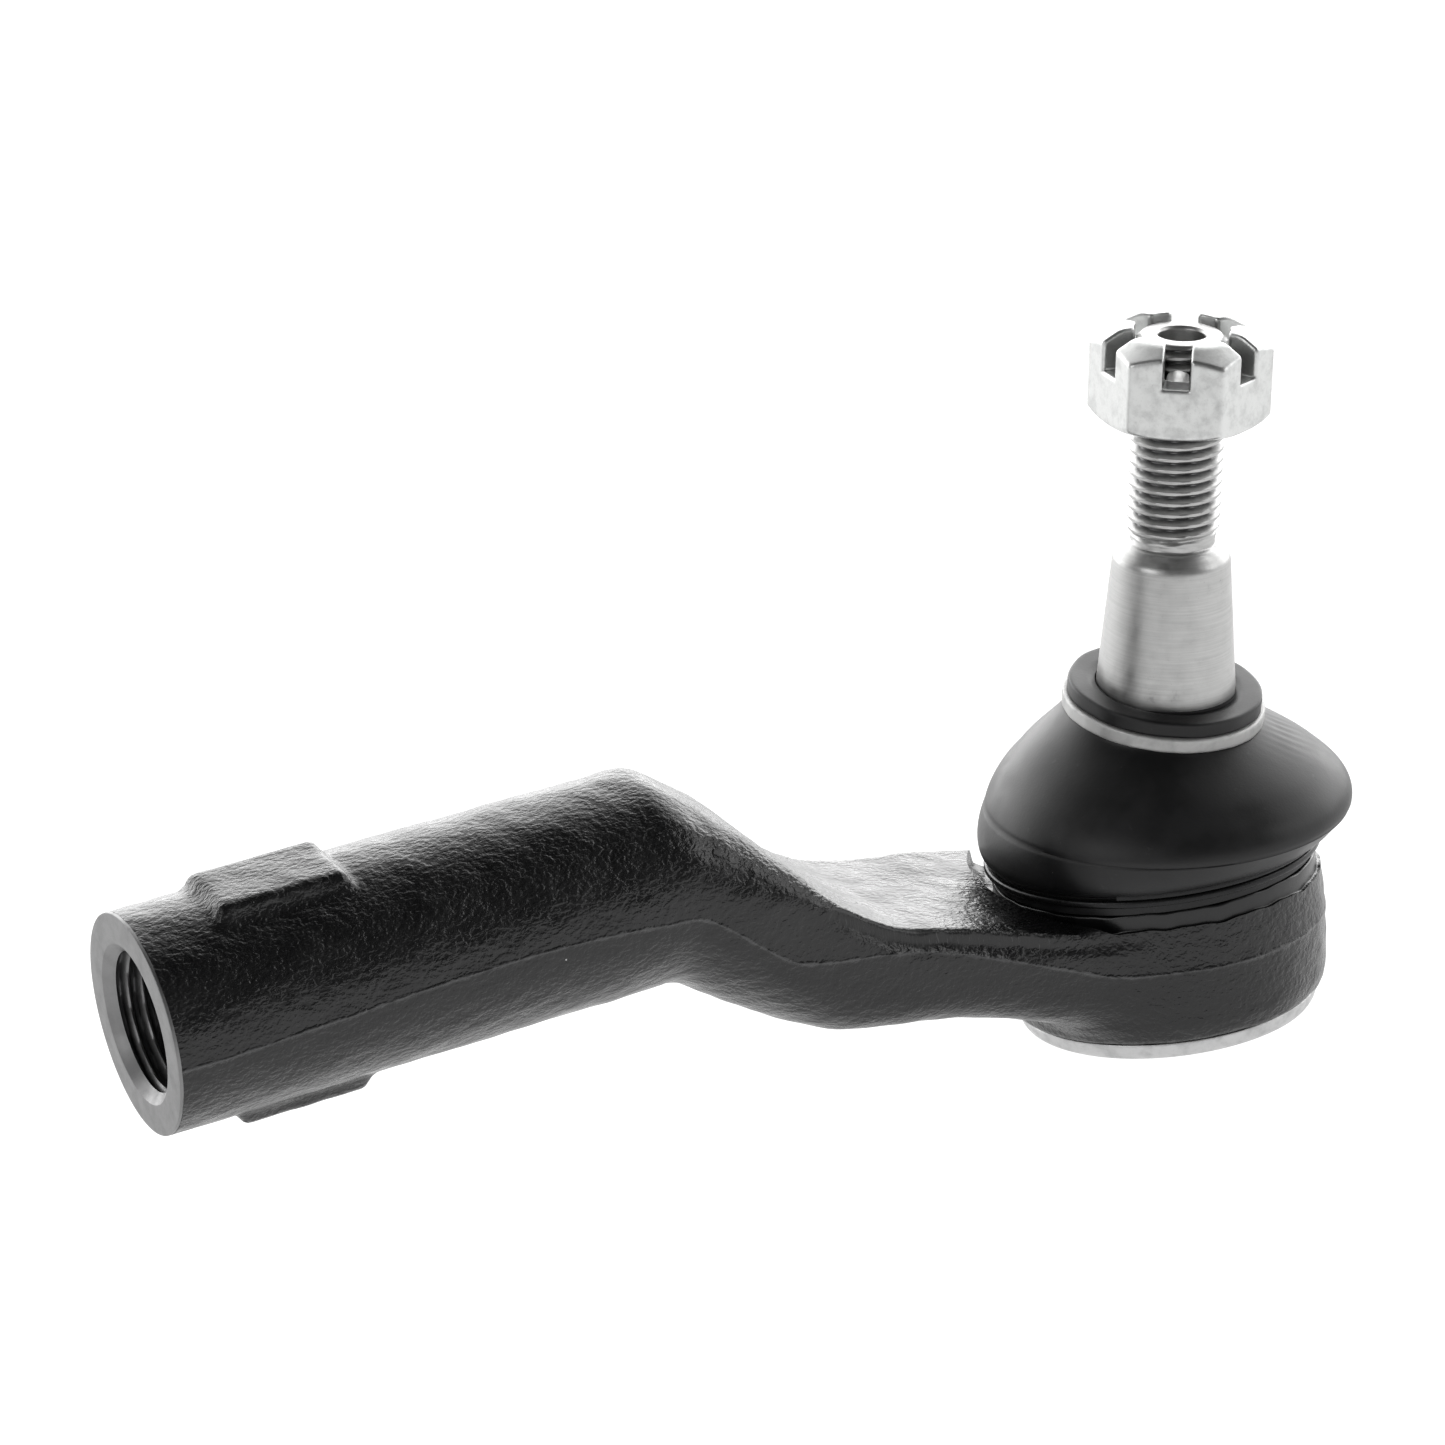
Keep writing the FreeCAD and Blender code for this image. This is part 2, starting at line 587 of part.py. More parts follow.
def make_dust_boot(doc, sheet):
    """The rubber boot: a bent bellows between the groove of the eye and the collar of the stud."""
    outer = Part.makeLoft([boot_ring(sheet, *station) for station in boot_stations(sheet, 0.0)], True)
    inner = Part.makeLoft([boot_ring(sheet, *station) for station in boot_stations(sheet, sheet.boot_wall)], True)
    boot = doc.addObject("Part::Feature", "dust_boot")
    boot.Label = "dust_boot"
    collar = turned_body(doc, "boot_collar_blank", [
        ("0", "-$flange_high + $collar_low - 0.2"),
        ("$ring_inner - 0.05", "-$flange_high + $collar_low - 0.2"),
        ("$ring_inner - 0.05", "$flange_low - $flange_high"),
        ("$flange_radius", "$flange_low - $flange_high"),
        ("$flange_radius", "-0.25"),
        ("$flange_radius - 0.25", "0"),
        ("0", "0"),
    ])
    lean_placement(collar, "$collar_lean", "$flange_high")
    doc.recompute()
    stud_way = Part.makeCylinder(sheet.taper_big + sheet.running_gap, 60)
    stud_way.Placement = doc.getObject("ball_stud").Placement
    boot.Shape = outer.cut(inner).fuse(collar.Shape).cut(stud_way).removeSplitter()
    return boot


def make_boot_ring(doc):
    """The flat steel ring that clamps the boot's collar to the stud."""
    low, high = "$collar_low - $flange_high", "$flange_low - $flange_high - 0.02"
    ring = turned_body(doc, "boot_upper_ring", [
        ("$ring_inner", low),
        ("$ring_radius - 0.15", low),
        ("$ring_radius", f"{low} + 0.15"),
        ("$ring_radius", f"{high} - 0.15"),
        ("$ring_radius - 0.15", high),
        ("$ring_inner", high),
    ])
    lean_placement(ring, "$collar_lean", "$flange_high")
    return ring


def make_boot_clip(doc):
    """The clip of spring wire, wound one and a half turns round the boot's lower lip."""
    helix = doc.addObject("Part::Helix", "clip_path")
    bind(helix, "Radius", "$clip_radius")
    bind(helix, "Pitch", "2 * $clip_wire + 0.01")
    bind(helix, "Height", "(2 * $clip_wire + 0.01) * $clip_turns")
    wire = doc.addObject("Part::Circle", "clip_wire_section")
    bind(wire, "Radius", "$clip_wire")
    bind(wire, "Placement", "placement(vector($clip_radius; 0; 0); rotation(vector(1; 0; 0); 90))")
    clip = doc.addObject("Part::Sweep", "boot_lower_clip")
    clip.Label = "boot_lower_clip"
    clip.Sections = [wire]
    doc.recompute()
    clip.Spine = (helix, ["Edge1", "Edge2"][:len(helix.Shape.Edges)])
    clip.Solid = True
    clip.Frenet = True
    bind(clip, "Placement", "placement(vector(0; 0; $clip_low); rotation(vector(0; 0; 1); $clip_start))")
    return clip


# ---------------------------------------------------------------- the whole joint

def check_and_export(doc, parts):
    """Stop on anything that failed, then write each sub-part to its own file."""
    for item in doc.Objects:
        if "Invalid" in item.State or "Error" in item.State:
            raise RuntimeError(f"{item.Name} failed: {item.State}")
    os.makedirs("parts", exist_ok=True)
    for part in parts:
        shape = part.Shape
        if shape.isNull() or not shape.isValid() or not shape.Solids:
            raise RuntimeError(f"{part.Label} has no valid solid")
        print(f"{part.Label}: {len(shape.Solids)} solid, {shape.Volume:.1f} cubic millimetres")
        shape.exportStep(f"parts/{part.Label}.step")


def main():
    """Build the document, check it and write the sub-parts."""
    doc = FreeCAD.newDocument("tie_rod_end")
    sheet = fill_sheet(doc)
    parts = [
        make_housing(doc),
        make_bearing_seat(doc),
        make_pressure_cup(doc),
        make_preload_spring(doc),
        make_cover_plate(doc),
        make_ball_stud(doc),
        make_slotted_nut(doc),
        make_dust_boot(doc, sheet),
        make_boot_ring(doc),
        make_boot_clip(doc),
    ]
    doc.recompute()
    check_and_export(doc, parts)


main()
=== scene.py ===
"""Tie rod end: the looks of a forged gooseneck housing with its ball stud, boot and slotted nut.

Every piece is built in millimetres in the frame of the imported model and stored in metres.
"""
import logging
import math
from dataclasses import dataclass
from enum import Enum
from typing import Any, Callable, Optional, Sequence

import bpy
import numpy as np
from mathutils import Matrix, Vector


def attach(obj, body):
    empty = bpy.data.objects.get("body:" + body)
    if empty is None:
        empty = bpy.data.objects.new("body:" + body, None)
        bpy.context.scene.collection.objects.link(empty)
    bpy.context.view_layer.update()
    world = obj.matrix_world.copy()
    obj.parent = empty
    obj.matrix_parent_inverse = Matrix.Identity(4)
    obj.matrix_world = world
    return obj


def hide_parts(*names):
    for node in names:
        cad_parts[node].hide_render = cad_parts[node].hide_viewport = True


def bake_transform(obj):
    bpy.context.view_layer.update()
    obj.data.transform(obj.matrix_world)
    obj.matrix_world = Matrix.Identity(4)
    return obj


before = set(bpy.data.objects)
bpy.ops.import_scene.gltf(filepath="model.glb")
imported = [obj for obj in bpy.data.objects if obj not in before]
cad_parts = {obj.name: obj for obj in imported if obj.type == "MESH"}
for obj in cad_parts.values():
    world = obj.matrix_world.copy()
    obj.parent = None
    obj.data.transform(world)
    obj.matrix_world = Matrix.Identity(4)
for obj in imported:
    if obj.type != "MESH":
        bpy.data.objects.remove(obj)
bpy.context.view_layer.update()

MM = 0.001
SMOOTH = {"interpolation_type": "SMOOTHSTEP"}
log = logging.getLogger("tie_rod_end")
Array = np.ndarray
Field = Callable[[Array], Array]


# ---------------------------------------------------------------- shared tools

def linear(colour: str) -> tuple[float, float, float, float]:
    """Turn an sRGB hex colour into the linear colour that a shader takes.

    Args:
        colour: six hex digits after a hash sign.

    Returns:
        Red, green, blue and an alpha of one.
    """
    parts = [int(colour[i:i + 2], 16) / 255 for i in (1, 3, 5)]
    red, green, blue = (p / 12.92 if p <= 0.04045 else ((p + 0.055) / 1.055) ** 2.4 for p in parts)
    return red, green, blue, 1.0


def add_node(tree: bpy.types.NodeTree, kind: str, inputs: Optional[dict[Any, Any]] = None,
             **settings: Any) -> bpy.types.Node:
    """Add one node, set its properties and give its inputs a value or a link.

    Args:
        tree: the node tree that gets the node.
        kind: the node's type.
        inputs: input names or numbers, each with a value or with the socket that feeds it.
        settings: property names and their values.

    Returns:
        The new node.
    """
    node = tree.nodes.new(kind)
    for name, value in settings.items():
        setattr(node, name, value)
    for key, value in (inputs or {}).items():
        if isinstance(value, bpy.types.NodeSocket):
            tree.links.new(value, node.inputs[key])
        else:
            node.inputs[key].default_value = value
    return node


# ---------------------------------------------------------------- finishes

@dataclass(frozen=True)
class Layer:
    """One noise pattern over a surface, and what it does to colour, gloss and height."""

    grain: float                                 # size of a grain in millimetres
    octaves: float = 2.0
    harshness: float = 0.5                       # strength of the finer octaves
    span: tuple[float, float] = (0.3, 0.7)       # part of the noise that changes the colour
    share: tuple[float, float] = (0.0, 0.0)      # share of the colour below and above that span
    colour: str = "#000000"
    gloss_span: tuple[float, float] = (0.3, 0.7)
    gloss: tuple[float, float] = (0.0, 0.0)      # change of roughness below and above that span
    depth: float = 0.0                           # height of the bump in millimetres
    strength: float = 1.0


class Surface:
    """A material that is being made: its nodes, and the colour and normal reached so far."""

    def __init__(self, name: str, colour: str, roughness: float, metallic: float, specular: float) -> None:
        """Start the material with the constant values of its shader.

        Args:
            name: the material's name.
            colour: its base colour.
            roughness: its base roughness.
            metallic: how far it is a metal.
            specular: its specular level.
        """
        self.material = bpy.data.materials.new(name)
        self.material.use_nodes = True
        self.tree = self.material.node_tree
        self.tree.nodes.clear()
        self.shader = add_node(self.tree, "ShaderNodeBsdfPrincipled", {
            "Base Color": linear(colour), "Roughness": roughness,
            "Metallic": metallic, "Specular IOR Level": specular})
        add_node(self.tree, "ShaderNodeOutputMaterial", {0: self.shader.outputs[0]})
        self.place = self.add("TexCoord", output="Object")
        self.roughness = roughness
        self.colour: Any = linear(colour)
        self.normal: Any = None

    def add(self, kind: str, *values: Any, output: Any = 0, named: Optional[dict[str, Any]] = None,
            **settings: Any) -> bpy.types.NodeSocket:
        """Add one shader node and return one of its outputs.

        Args:
            kind: the node's type without its ShaderNode prefix.
            values: values or sockets for its first inputs, in order.
            output: name or number of the output.
            named: values or sockets for inputs by name.
            settings: property names and their values.

        Returns:
            The socket of that output.
        """
        inputs = {**dict(enumerate(values)), **(named or {})}
        return add_node(self.tree, "ShaderNode" + kind, inputs, **settings).outputs[output]

    def paint(self, share: Any, colour: str) -> None:
        """Lay a colour over what is there and feed the shader with it.

        Args:
            share: the socket that says how much of it shows.
            colour: the colour.
        """
        inputs = {0: share, 6: self.colour, 7: linear(colour)}
        self.colour = add_node(self.tree, "ShaderNodeMix", inputs, data_type="RGBA").outputs[2]
        self.tree.links.new(self.colour, self.shader.inputs["Base Color"])

    def raise_by(self, height: Any, depth: float, strength: Any = 1.0) -> None:
        """Raise the surface further and feed the shader with its new normal.

        Args:
            height: the socket that gives the height from nought to one.
            depth: real depth in millimetres.
            strength: number or socket from nought to one.
        """
        below = {"Normal": self.normal} if self.normal else {}
        self.normal = self.add("Bump", named={
            "Height": height, "Distance": depth * MM, "Strength": strength, **below})
        self.tree.links.new(self.normal, self.shader.inputs["Normal"])

    def lay(self, layer: Layer, where: Any = None) -> Any:
        """Add one layer of noise with everything that it does.

        Args:
            layer: the layer.
            where: coordinates in metres; the object's own if left out.

        Returns:
            The socket with the noise.
        """
        value = self.add("TexNoise", where or self.place, named={
            "Scale": 1 / (layer.grain * MM), "Detail": layer.octaves, "Roughness": layer.harshness})
        if any(layer.share):
            self.paint(self.add("MapRange", value, *layer.span, *layer.share, **SMOOTH), layer.colour)
        if any(layer.gloss):
            gloss = [self.roughness + change for change in layer.gloss]
            rough = self.add("MapRange", value, *layer.gloss_span, *gloss, **SMOOTH)
            self.tree.links.new(rough, self.shader.inputs["Roughness"])
        if layer.depth:
            self.raise_by(value, layer.depth, layer.strength)
        return value

    def dust(self, spacing: float, radius: float, share: float, colour: str) -> None:
        """Scatter small round specks.

        Args:
            spacing: distance between places where a speck can lie, in millimetres.
            radius: radius of a speck in millimetres.
            share: share of those places that hold one.
            colour: its colour.
        """
        cells = add_node(self.tree, "ShaderNodeTexVoronoi", {
            "Vector": self.place, "Scale": 1 / (spacing * MM)})
        reach = radius / spacing
        dot = self.add("MapRange", cells.outputs["Distance"], 0.7 * reach, reach, 1.0, 0.0, **SMOOTH)
        lot = self.add("SeparateColor", cells.outputs["Color"])
        pick = self.add("Math", lot, share, operation="LESS_THAN")
        self.paint(self.add("Math", dot, pick, operation="MULTIPLY"), colour)


@dataclass(frozen=True)
class Finish:
    """What a surface is: its name, the constant values of its shader and its layers of noise."""

    name: str
    colour: str
    roughness: float
    metallic: float = 0.0
    specular: float = 0.5
    layers: tuple[Layer, ...] = ()

    def material(self) -> bpy.types.Material:
        """Return the material, and make it the first time.

        Returns:
            The Blender material.
        """
        found = bpy.data.materials.get(self.name)
        if found:
            return found
        surface = Surface(self.name, self.colour, self.roughness, self.metallic, self.specular)
        self.detail(surface)
        return surface.material

    def detail(self, surface: Surface) -> None:
        """Add the pattern of this finish to a surface."""
        for layer in self.layers:
            surface.lay(layer)


@dataclass(frozen=True)
class CoatedForging(Finish):
    """Drop-forged steel, shot-blasted and dipped in black e-coat.

    The blasted scale under the thin coat reads as shallow pits about 0.55 mm across, drawn out
    along the forging, with a gloss that only breaks up at the parting line and on trimmed
    edges.  The mesh carries "forging": distance to the parting line, trimmed edge, turned face.
    """

    pits: Layer = Layer(0.55, 2.0, 0.55, share=(0.0, 0.30), colour="#121213")
    lumps: Layer = Layer(1.7, 1.5)
    flecks: Layer = Layer(1.1, 3.0)
    scratch: Layer = Layer(0.22, 2.0, 0.7)
    cloud: Layer = Layer(5.0, gloss=(-0.04, 0.06))
    worn: str = "#5a5a5b"
    ridge_edge: tuple[float, float] = (0.20, 0.62)     # millimetres from the parting line
    drawn: tuple[float, float, float] = (0.75, 1.0, 1.0)
    upright: tuple[float, float, float] = (1.0, 1.0, 0.08)

    def detail(self, surface: Surface) -> None:
        """Add pits, the parting ridge, trim scratches and dust to a surface.

        Args:
            surface: the material that is being made.
        """
        add, whole = surface.add, (0.1, 0.9)
        marks = add("Attribute", output="Vector", attribute_name="forging")
        off, trim, turned = add_node(surface.tree, "ShaderNodeSeparateXYZ", {0: marks}).outputs
        machined = add("Math", turned, trim, operation="MAXIMUM")
        pits = surface.lay(self.pits, add("Mapping", surface.place, named={"Scale": self.drawn}))
        surface.raise_by(add("MapRange", pits, 0.34, 0.66, 0.0, 1.0, **SMOOTH), 0.065,
                         add("MapRange", machined, *whole, 0.75, 0.05, **SMOOTH))
        surface.raise_by(surface.lay(self.lumps), 0.16,
                         add("MapRange", machined, *whole, 0.35, 0.02, **SMOOTH))
        distance = add("Math", off, operation="ABSOLUTE")
        broken = add("Math", surface.lay(self.flecks), 0.5, distance, operation="MULTIPLY_ADD")
        ridge = add("MapRange", broken, *self.ridge_edge, 1.0, 0.0, **SMOOTH)
        surface.raise_by(ridge, 0.14, 0.7)
        scratches = surface.lay(self.scratch, add("Mapping", surface.place, named={"Scale": self.upright}))
        surface.raise_by(scratches, 0.05, trim)
        surface.paint(add("MapRange", ridge, 0.3, 1.0, 0.0, 0.42, **SMOOTH), self.worn)
        bright = add("MapRange", scratches, 0.62, 0.74, 0.0, 0.5, **SMOOTH)
        surface.paint(add("Math", bright, trim, operation="MULTIPLY"), self.worn)
        surface.dust(4.3, 0.11, 0.30, "#b9b9b9")
        surface.lay(self.cloud)


@dataclass(frozen=True)
class TurnedSteel(Finish):
    """Plain carbon steel as it left the lathe, with a cut thread.

    The tool leaves fine rings round the axis.  They are 0.1 mm apart on the real piece and are
    drawn 0.2 mm apart so that they show.  The roots carry painted shade, broken up by noise, so
    the crests read bright.  The mesh carries "turning": the sine and cosine round the axis, and
    millimetres along it; and "crest", from nought at the root to one at the crest, which sets
    that painted shade.
    """

    ring: float = 0.2
    dark: str = "#6d6d6f"
    blotch: float = 0.5
    # colour of the painted shade in the thread roots
    root: str = "#48484a"

    def detail(self, surface: Surface) -> None:
        """Add tool rings, smudges, grain and painted shade in the roots to a surface.

        Args:
            surface: the material that is being made.
        """
        turning = surface.add("Attribute", output="Vector", attribute_name="turning")
        rings = Layer(1 / MM, 3.0, 0.7, (0.25, 0.75), (0.22, 0.0), self.dark, depth=0.004)
        surface.lay(rings, surface.add("Mapping", turning, named={"Scale": (0.8, 0.8, 1 / self.ring)}))
        surface.lay(Layer(2.2, 5.0, 0.7, (0.60, 0.74), (0.0, self.blotch), self.dark,
                          gloss_span=(0.35, 0.7), gloss=(0.0, 0.12)))
        surface.lay(Layer(0.22, 2.0, 0.7, (0.62, 0.8), (0.0, 0.25), "#454547", depth=0.01, strength=0.6))
        # Painted shade in the thread roots: the colour darkens where crest is low, broken up by noise.
        crest = surface.add("Attribute", output="Fac", attribute_name="crest")
        root_shade = surface.add("Math", surface.lay(Layer(0.9, 4.0, 0.7)), 0.7, crest, operation="MULTIPLY_ADD")
        surface.paint(surface.add("MapRange", root_shade, 0.35, 1.15, 0.7, 0.0, **SMOOTH), self.root)


@dataclass(frozen=True)
class MouldedRubber(Finish):
    """Chloroprene rubber from a spark-eroded mould: satin black, very fine grain, bloom and dust."""

    def detail(self, surface: Surface) -> None:
        """Add grain, bloom and scuffs, and then dust, to a surface."""
        super().detail(surface)
        surface.dust(3.1, 0.09, 0.35, "#a2a2a2")


def plated(shade: str = "#8d8e8e") -> tuple[Layer, ...]:
    """Return the layers of bright zinc plate: soft mottling, fine grain and the drum's knocks."""
    return (Layer(1.6, 4.0, 0.65, (0.40, 0.75), (0.0, 0.35), shade, gloss=(-0.05, 0.09)),
            Layer(0.25, 3.0, 0.7, (0.55, 0.8), (0.0, 0.35), shade, depth=0.012, strength=0.7),
            Layer(0.7, 5.0, 0.75, (0.68, 0.76), (0.0, 0.45), "#565657", depth=0.05, strength=0.35))


def grained(stain: str, depth: float = 0.02) -> tuple[Layer, ...]:
    """Return the layers of a small pressed, wound or turned piece: grain and stains."""
    return (Layer(0.4, 3.0, 0.6, gloss=(-0.04, 0.10), depth=depth, strength=0.6),
            Layer(2.0, 4.0, 0.6, (0.45, 0.75), (0.0, 0.5), stain))


RUBBER_LAYERS = (
    Layer(0.28, depth=0.02, strength=0.5),
    Layer(7.0, 3.0, 0.55, (0.35, 0.7), (0.0, 0.35), "#2c2c2d", gloss=(-0.05, 0.05)),
    Layer(1.7, 5.0, 0.7, (0.63, 0.75), (0.0, 0.35), "#3e3e3f", depth=0.10, strength=0.14))

# Semi-gloss black, almost without colour of its own, so that its gloss draws the shape.
BLACK_COAT = CoatedForging("e_coated_forged_steel", "#060607", 0.27, 0.0, 0.45)
# Satin grey with fine rings; painted shade in the thread roots makes the crests read bright.
STUD_THREAD = TurnedSteel("turned_carbon_steel_with_cut_thread", "#b2b2b1", 0.34, 1.0, blotch=0.35)
# The same steel on the cut end of the shank, rougher, and darker as painted shade for the end face turned
# away from the light.
SHANK_THREAD = TurnedSteel("tapped_carbon_steel_with_painted_shade", "#7c7c7c", 0.42, 1.0)
# Pale and softly mottled, with edges rounded in the plating drum.
NUT_ZINC = Finish("bright_zinc_plate", "#c9cac9", 0.36, 1.0, layers=plated())
COVER_ZINC = Finish("zinc_plated_pressed_sheet", "#c6c7c7", 0.42, 1.0, layers=plated())
LIP_STEEL = Finish("rolled_bare_steel_lip", "#bdbdbd", 0.42, 1.0, layers=plated())
# Satin black with a soft highlight.
BOOT_RUBBER = MouldedRubber("moulded_chloroprene_rubber", "#0c0c0d", 0.44, 0.0, 0.34, RUBBER_LAYERS)
# Matt pale band, half hidden by its own oxide.
RING_STEEL = Finish("rolled_steel_band", "#b0b0af", 0.46, 0.55, layers=grained("#8a8a8a"))
BLACK_WIRE = Finish("phosphated_spring_wire", "#1a1a1b", 0.30, 0.6, layers=grained("#0c0c0d"))
SPRING_STEEL = Finish("phosphated_spring_steel_sheet", "#4a4a4c", 0.42, 0.9, layers=grained("#2c2c2e"))
# Milky white, slightly yellow in thick places.
ACETAL = Finish("turned_natural_acetal", "#dcdbd3", 0.38, 0.0, layers=grained("#c9c7bb", 0.01))


# ---------------------------------------------------------------- meshes

def mesh_piece(name: str, points: Array, faces: Sequence[Sequence[int]]) -> bpy.types.Object:
    """Make a smooth object from points in millimetres.

    Args:
        name: the piece's name.
        points: one row of x, y, z for each vertex.
        faces: vertex numbers of each face.

    Returns:
        The object, at the origin.
    """
    mesh = bpy.data.meshes.new(name)
    mesh.from_pydata((points * MM).tolist(), [], faces)
    mesh.validate()
    piece = bpy.data.objects.new(name, mesh)
    bpy.context.scene.collection.objects.link(piece)
    return piece


def smoothed(piece: bpy.types.Object, angle: float = 35.0) -> None:
    """Shade a piece smooth, with sharp edges where its faces meet at more than an angle."""
    piece.data.shade_smooth()
    piece.data.set_sharp_from_angle(angle=math.radians(angle))


def write_attribute(piece: bpy.types.Object, name: str, values: Array) -> None:
    """Store one number, or three, for each vertex.

    Args:
        piece: the object.
        name: the attribute's name.
        values: one value or one row of three values for each vertex.
    """
    kind = "FLOAT" if values.ndim == 1 else "FLOAT_VECTOR"
    attribute = piece.data.attributes.new(name, kind, "POINT")
    attribute.data.foreach_set("value" if values.ndim == 1 else "vector", values.astype(np.float32).ravel())


def finished(piece: bpy.types.Object, finish: Finish, body: str, slot: str, *nodes: str) -> bpy.types.Object:
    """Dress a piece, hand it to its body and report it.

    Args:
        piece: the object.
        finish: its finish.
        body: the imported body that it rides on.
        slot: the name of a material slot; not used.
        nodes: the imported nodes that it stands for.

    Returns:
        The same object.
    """
    piece.data.materials.clear()
    piece.data.materials.append(finish.material())
    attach(piece, body)
    if nodes:
        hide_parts(*nodes)
    log.info("%s: %d vertices, %s, on body %s", piece.name, len(piece.data.vertices), finish.name, body)
    return piece


@dataclass(frozen=True)
class Spindle:
    """The axis that round pieces are turned about."""

    centre: tuple[float, float, float]
    axis: tuple[float, float, float]

    def frame(self) -> Array:
        """Return the axis and two directions across it, as the columns of a matrix.

        Returns:
            The matrix, with the axis as its third column.
        """
        along = np.array(self.axis, float) / np.linalg.norm(self.axis)
        helper = np.array((1.0, 0.0, 0.0)) if abs(along[0]) < 0.9 else np.array((0.0, 1.0, 0.0))
        first = helper - along * (helper @ along)
        first /= np.linalg.norm(first)
        return np.column_stack((first, np.cross(along, first), along))

    def place(self, radius: Array, angle: Array, height: Array) -> Array:
        """Turn radius, angle and height about the axis into points.

        Args:
            radius: distances from the axis in millimetres.
            angle: angles in radians.
            height: distances along the axis in millimetres.

        Returns:
            Points with x, y and z in their last dimension.
        """
        local = np.stack((radius * np.cos(angle), radius * np.sin(angle), height), axis=-1)
        return local @ self.frame().T + np.array(self.centre)


UPRIGHT = Spindle((0, 0, 0), (0, 0, 1))


def filleted(corners: Sequence[Sequence[float]], step: float = 0.6) -> Array:
    """Round the corners of an outline and divide its long sides.

    Args:
        corners: radius, height and fillet of each corner, in millimetres.
        step: longest side in millimetres.

    Returns:
        One row of radius and height for each point, from the first corner to the last.
    """
    spots = [np.array(c[:2], float) for c in corners]
    line = [spots[0]]
    for before, corner, after, data in zip(spots, spots[1:], spots[2:], corners[1:-1]):
        fillet = data[2] if len(data) > 2 else 0.0
        to_before, to_after = before - corner, after - corner
        reach = min(fillet, 0.45 * np.linalg.norm(to_before), 0.45 * np.linalg.norm(to_after))
        if reach < 1e-4:
            line.append(corner)
            continue
        start = corner + to_before / np.linalg.norm(to_before) * reach
        end = corner + to_after / np.linalg.norm(to_after) * reach
        for share in np.linspace(0, 1, 5):
            line.append((1 - share) ** 2 * start + 2 * share * (1 - share) * corner + share ** 2 * end)
    line.append(spots[-1])
    dense = [line[0]]
    for start, end in zip(line, line[1:]):
        count = max(1, math.ceil(np.linalg.norm(end - start) / step))
        dense += [start + (end - start) * k / count for k in range(1, count + 1)]
    return np.array(dense)


def turned_piece(name: str, spindle: Spindle, radius: Array, height: Array, closed: bool,
                 crest: Optional[Array] = None) -> bpy.types.Object:
    """Make a round piece from a grid of radii and heights.

    Args:
        name: the piece's name.
        spindle: its axis.
        radius: one row for each ring and one column for each direction.
        height: the same for the distance along the axis.
        closed: whether the last ring joins the first; otherwise both end in a pole on the axis.
        crest: a value for each point that the thread finish reads to place its painted shade.

    Returns:
        The object, with faces outwards.
    """
    rows, columns = radius.shape
    angle = np.tile(directions(columns), (rows, 1))
    points = spindle.place(radius, angle, height).reshape(-1, 3)
    turning = np.stack((np.cos(angle), np.sin(angle), height), axis=-1).reshape(-1, 3)
    faces = ring_faces(rows, columns, closed)
    here, there = np.arange(columns), (np.arange(columns) + 1) % columns
    if not closed:
        count = rows * columns
        ends = spindle.place(np.zeros(2), np.zeros(2), np.array((height[0].mean(), height[-1].mean())))
        points = np.vstack((points, ends))
        turning = np.vstack((turning, [(0, 0, height[0].mean()), (0, 0, height[-1].mean())]))
        top = (rows - 1) * columns
        faces += [[count, int(b), int(a)] for a, b in zip(here, there)]
        faces += [[count + 1, top + int(a), top + int(b)] for a, b in zip(here, there)]
    piece = mesh_piece(name, points, faces)
    write_attribute(piece, "turning", turning)
    if crest is not None:
        values = crest.reshape(-1) if closed else np.append(crest.reshape(-1), (0.0, 0.0))
        write_attribute(piece, "crest", values)
    face_outwards(piece)
    return piece


def directions(columns: int) -> Array:
    """Return equally spaced directions round an axis, in radians."""
    return np.linspace(0, 2 * math.pi, columns, endpoint=False)


def ring_faces(rows: int, columns: int, closed: bool) -> list[list[int]]:
    """List the quads between rings of points that follow each other.

    Args:
        rows: number of rings.
        columns: points in each ring.
        closed: whether the last ring joins the first.

    Returns:
        Four vertex numbers for each face.
    """
    low = np.arange(rows if closed else rows - 1)[:, None] * columns
    high = (low + columns) % (rows * columns)
    here, there = np.arange(columns), (np.arange(columns) + 1) % columns
    return np.stack((low + here, low + there, high + there, high + here), axis=-1).reshape(-1, 4).tolist()


def spun(name: str, spindle: Spindle, line: Array, columns: int, closed: bool) -> bpy.types.Object:
    """Make a perfectly round piece from one line of radii and heights.

    Args:
        name: the piece's name.
        spindle: its axis.
        line: one row of radius and height for each ring.
        columns: points in each ring.
        closed: whether the last ring joins the first.

    Returns:
        The object.
    """
    rings = np.repeat(line[:, None], columns, 1)
    return turned_piece(name, spindle, rings[..., 0], rings[..., 1], closed)


def face_outwards(piece: bpy.types.Object) -> None:
    """Turn a closed mesh right side out if the volume that its faces enclose is negative."""
    mesh = piece.data
    mesh.calc_loop_triangles()
    points = np.array([v.co for v in mesh.vertices])
    corners = points[np.array([t.vertices[:] for t in mesh.loop_triangles])]
    if np.einsum("ij,ij->i", corners[:, 0], np.cross(corners[:, 1], corners[:, 2])).sum() < 0:
        mesh.flip_normals()


def thread_depth(height: Array, angle: Array, pitch: float) -> Array:
    """Follow the section of a right-hand metric thread.

    Args:
        height: distances along the axis in millimetres.
        angle: angles in radians.
        pitch: distance between turns in millimetres.

    Returns:
        Depth below the crest, from nought to one.
    """
    phase = (height / pitch - angle / (2 * math.pi)) % 1.0
    off = np.minimum(phase, 1 - phase)
    return np.clip((off - 0.13) / 0.33, 0, 1)


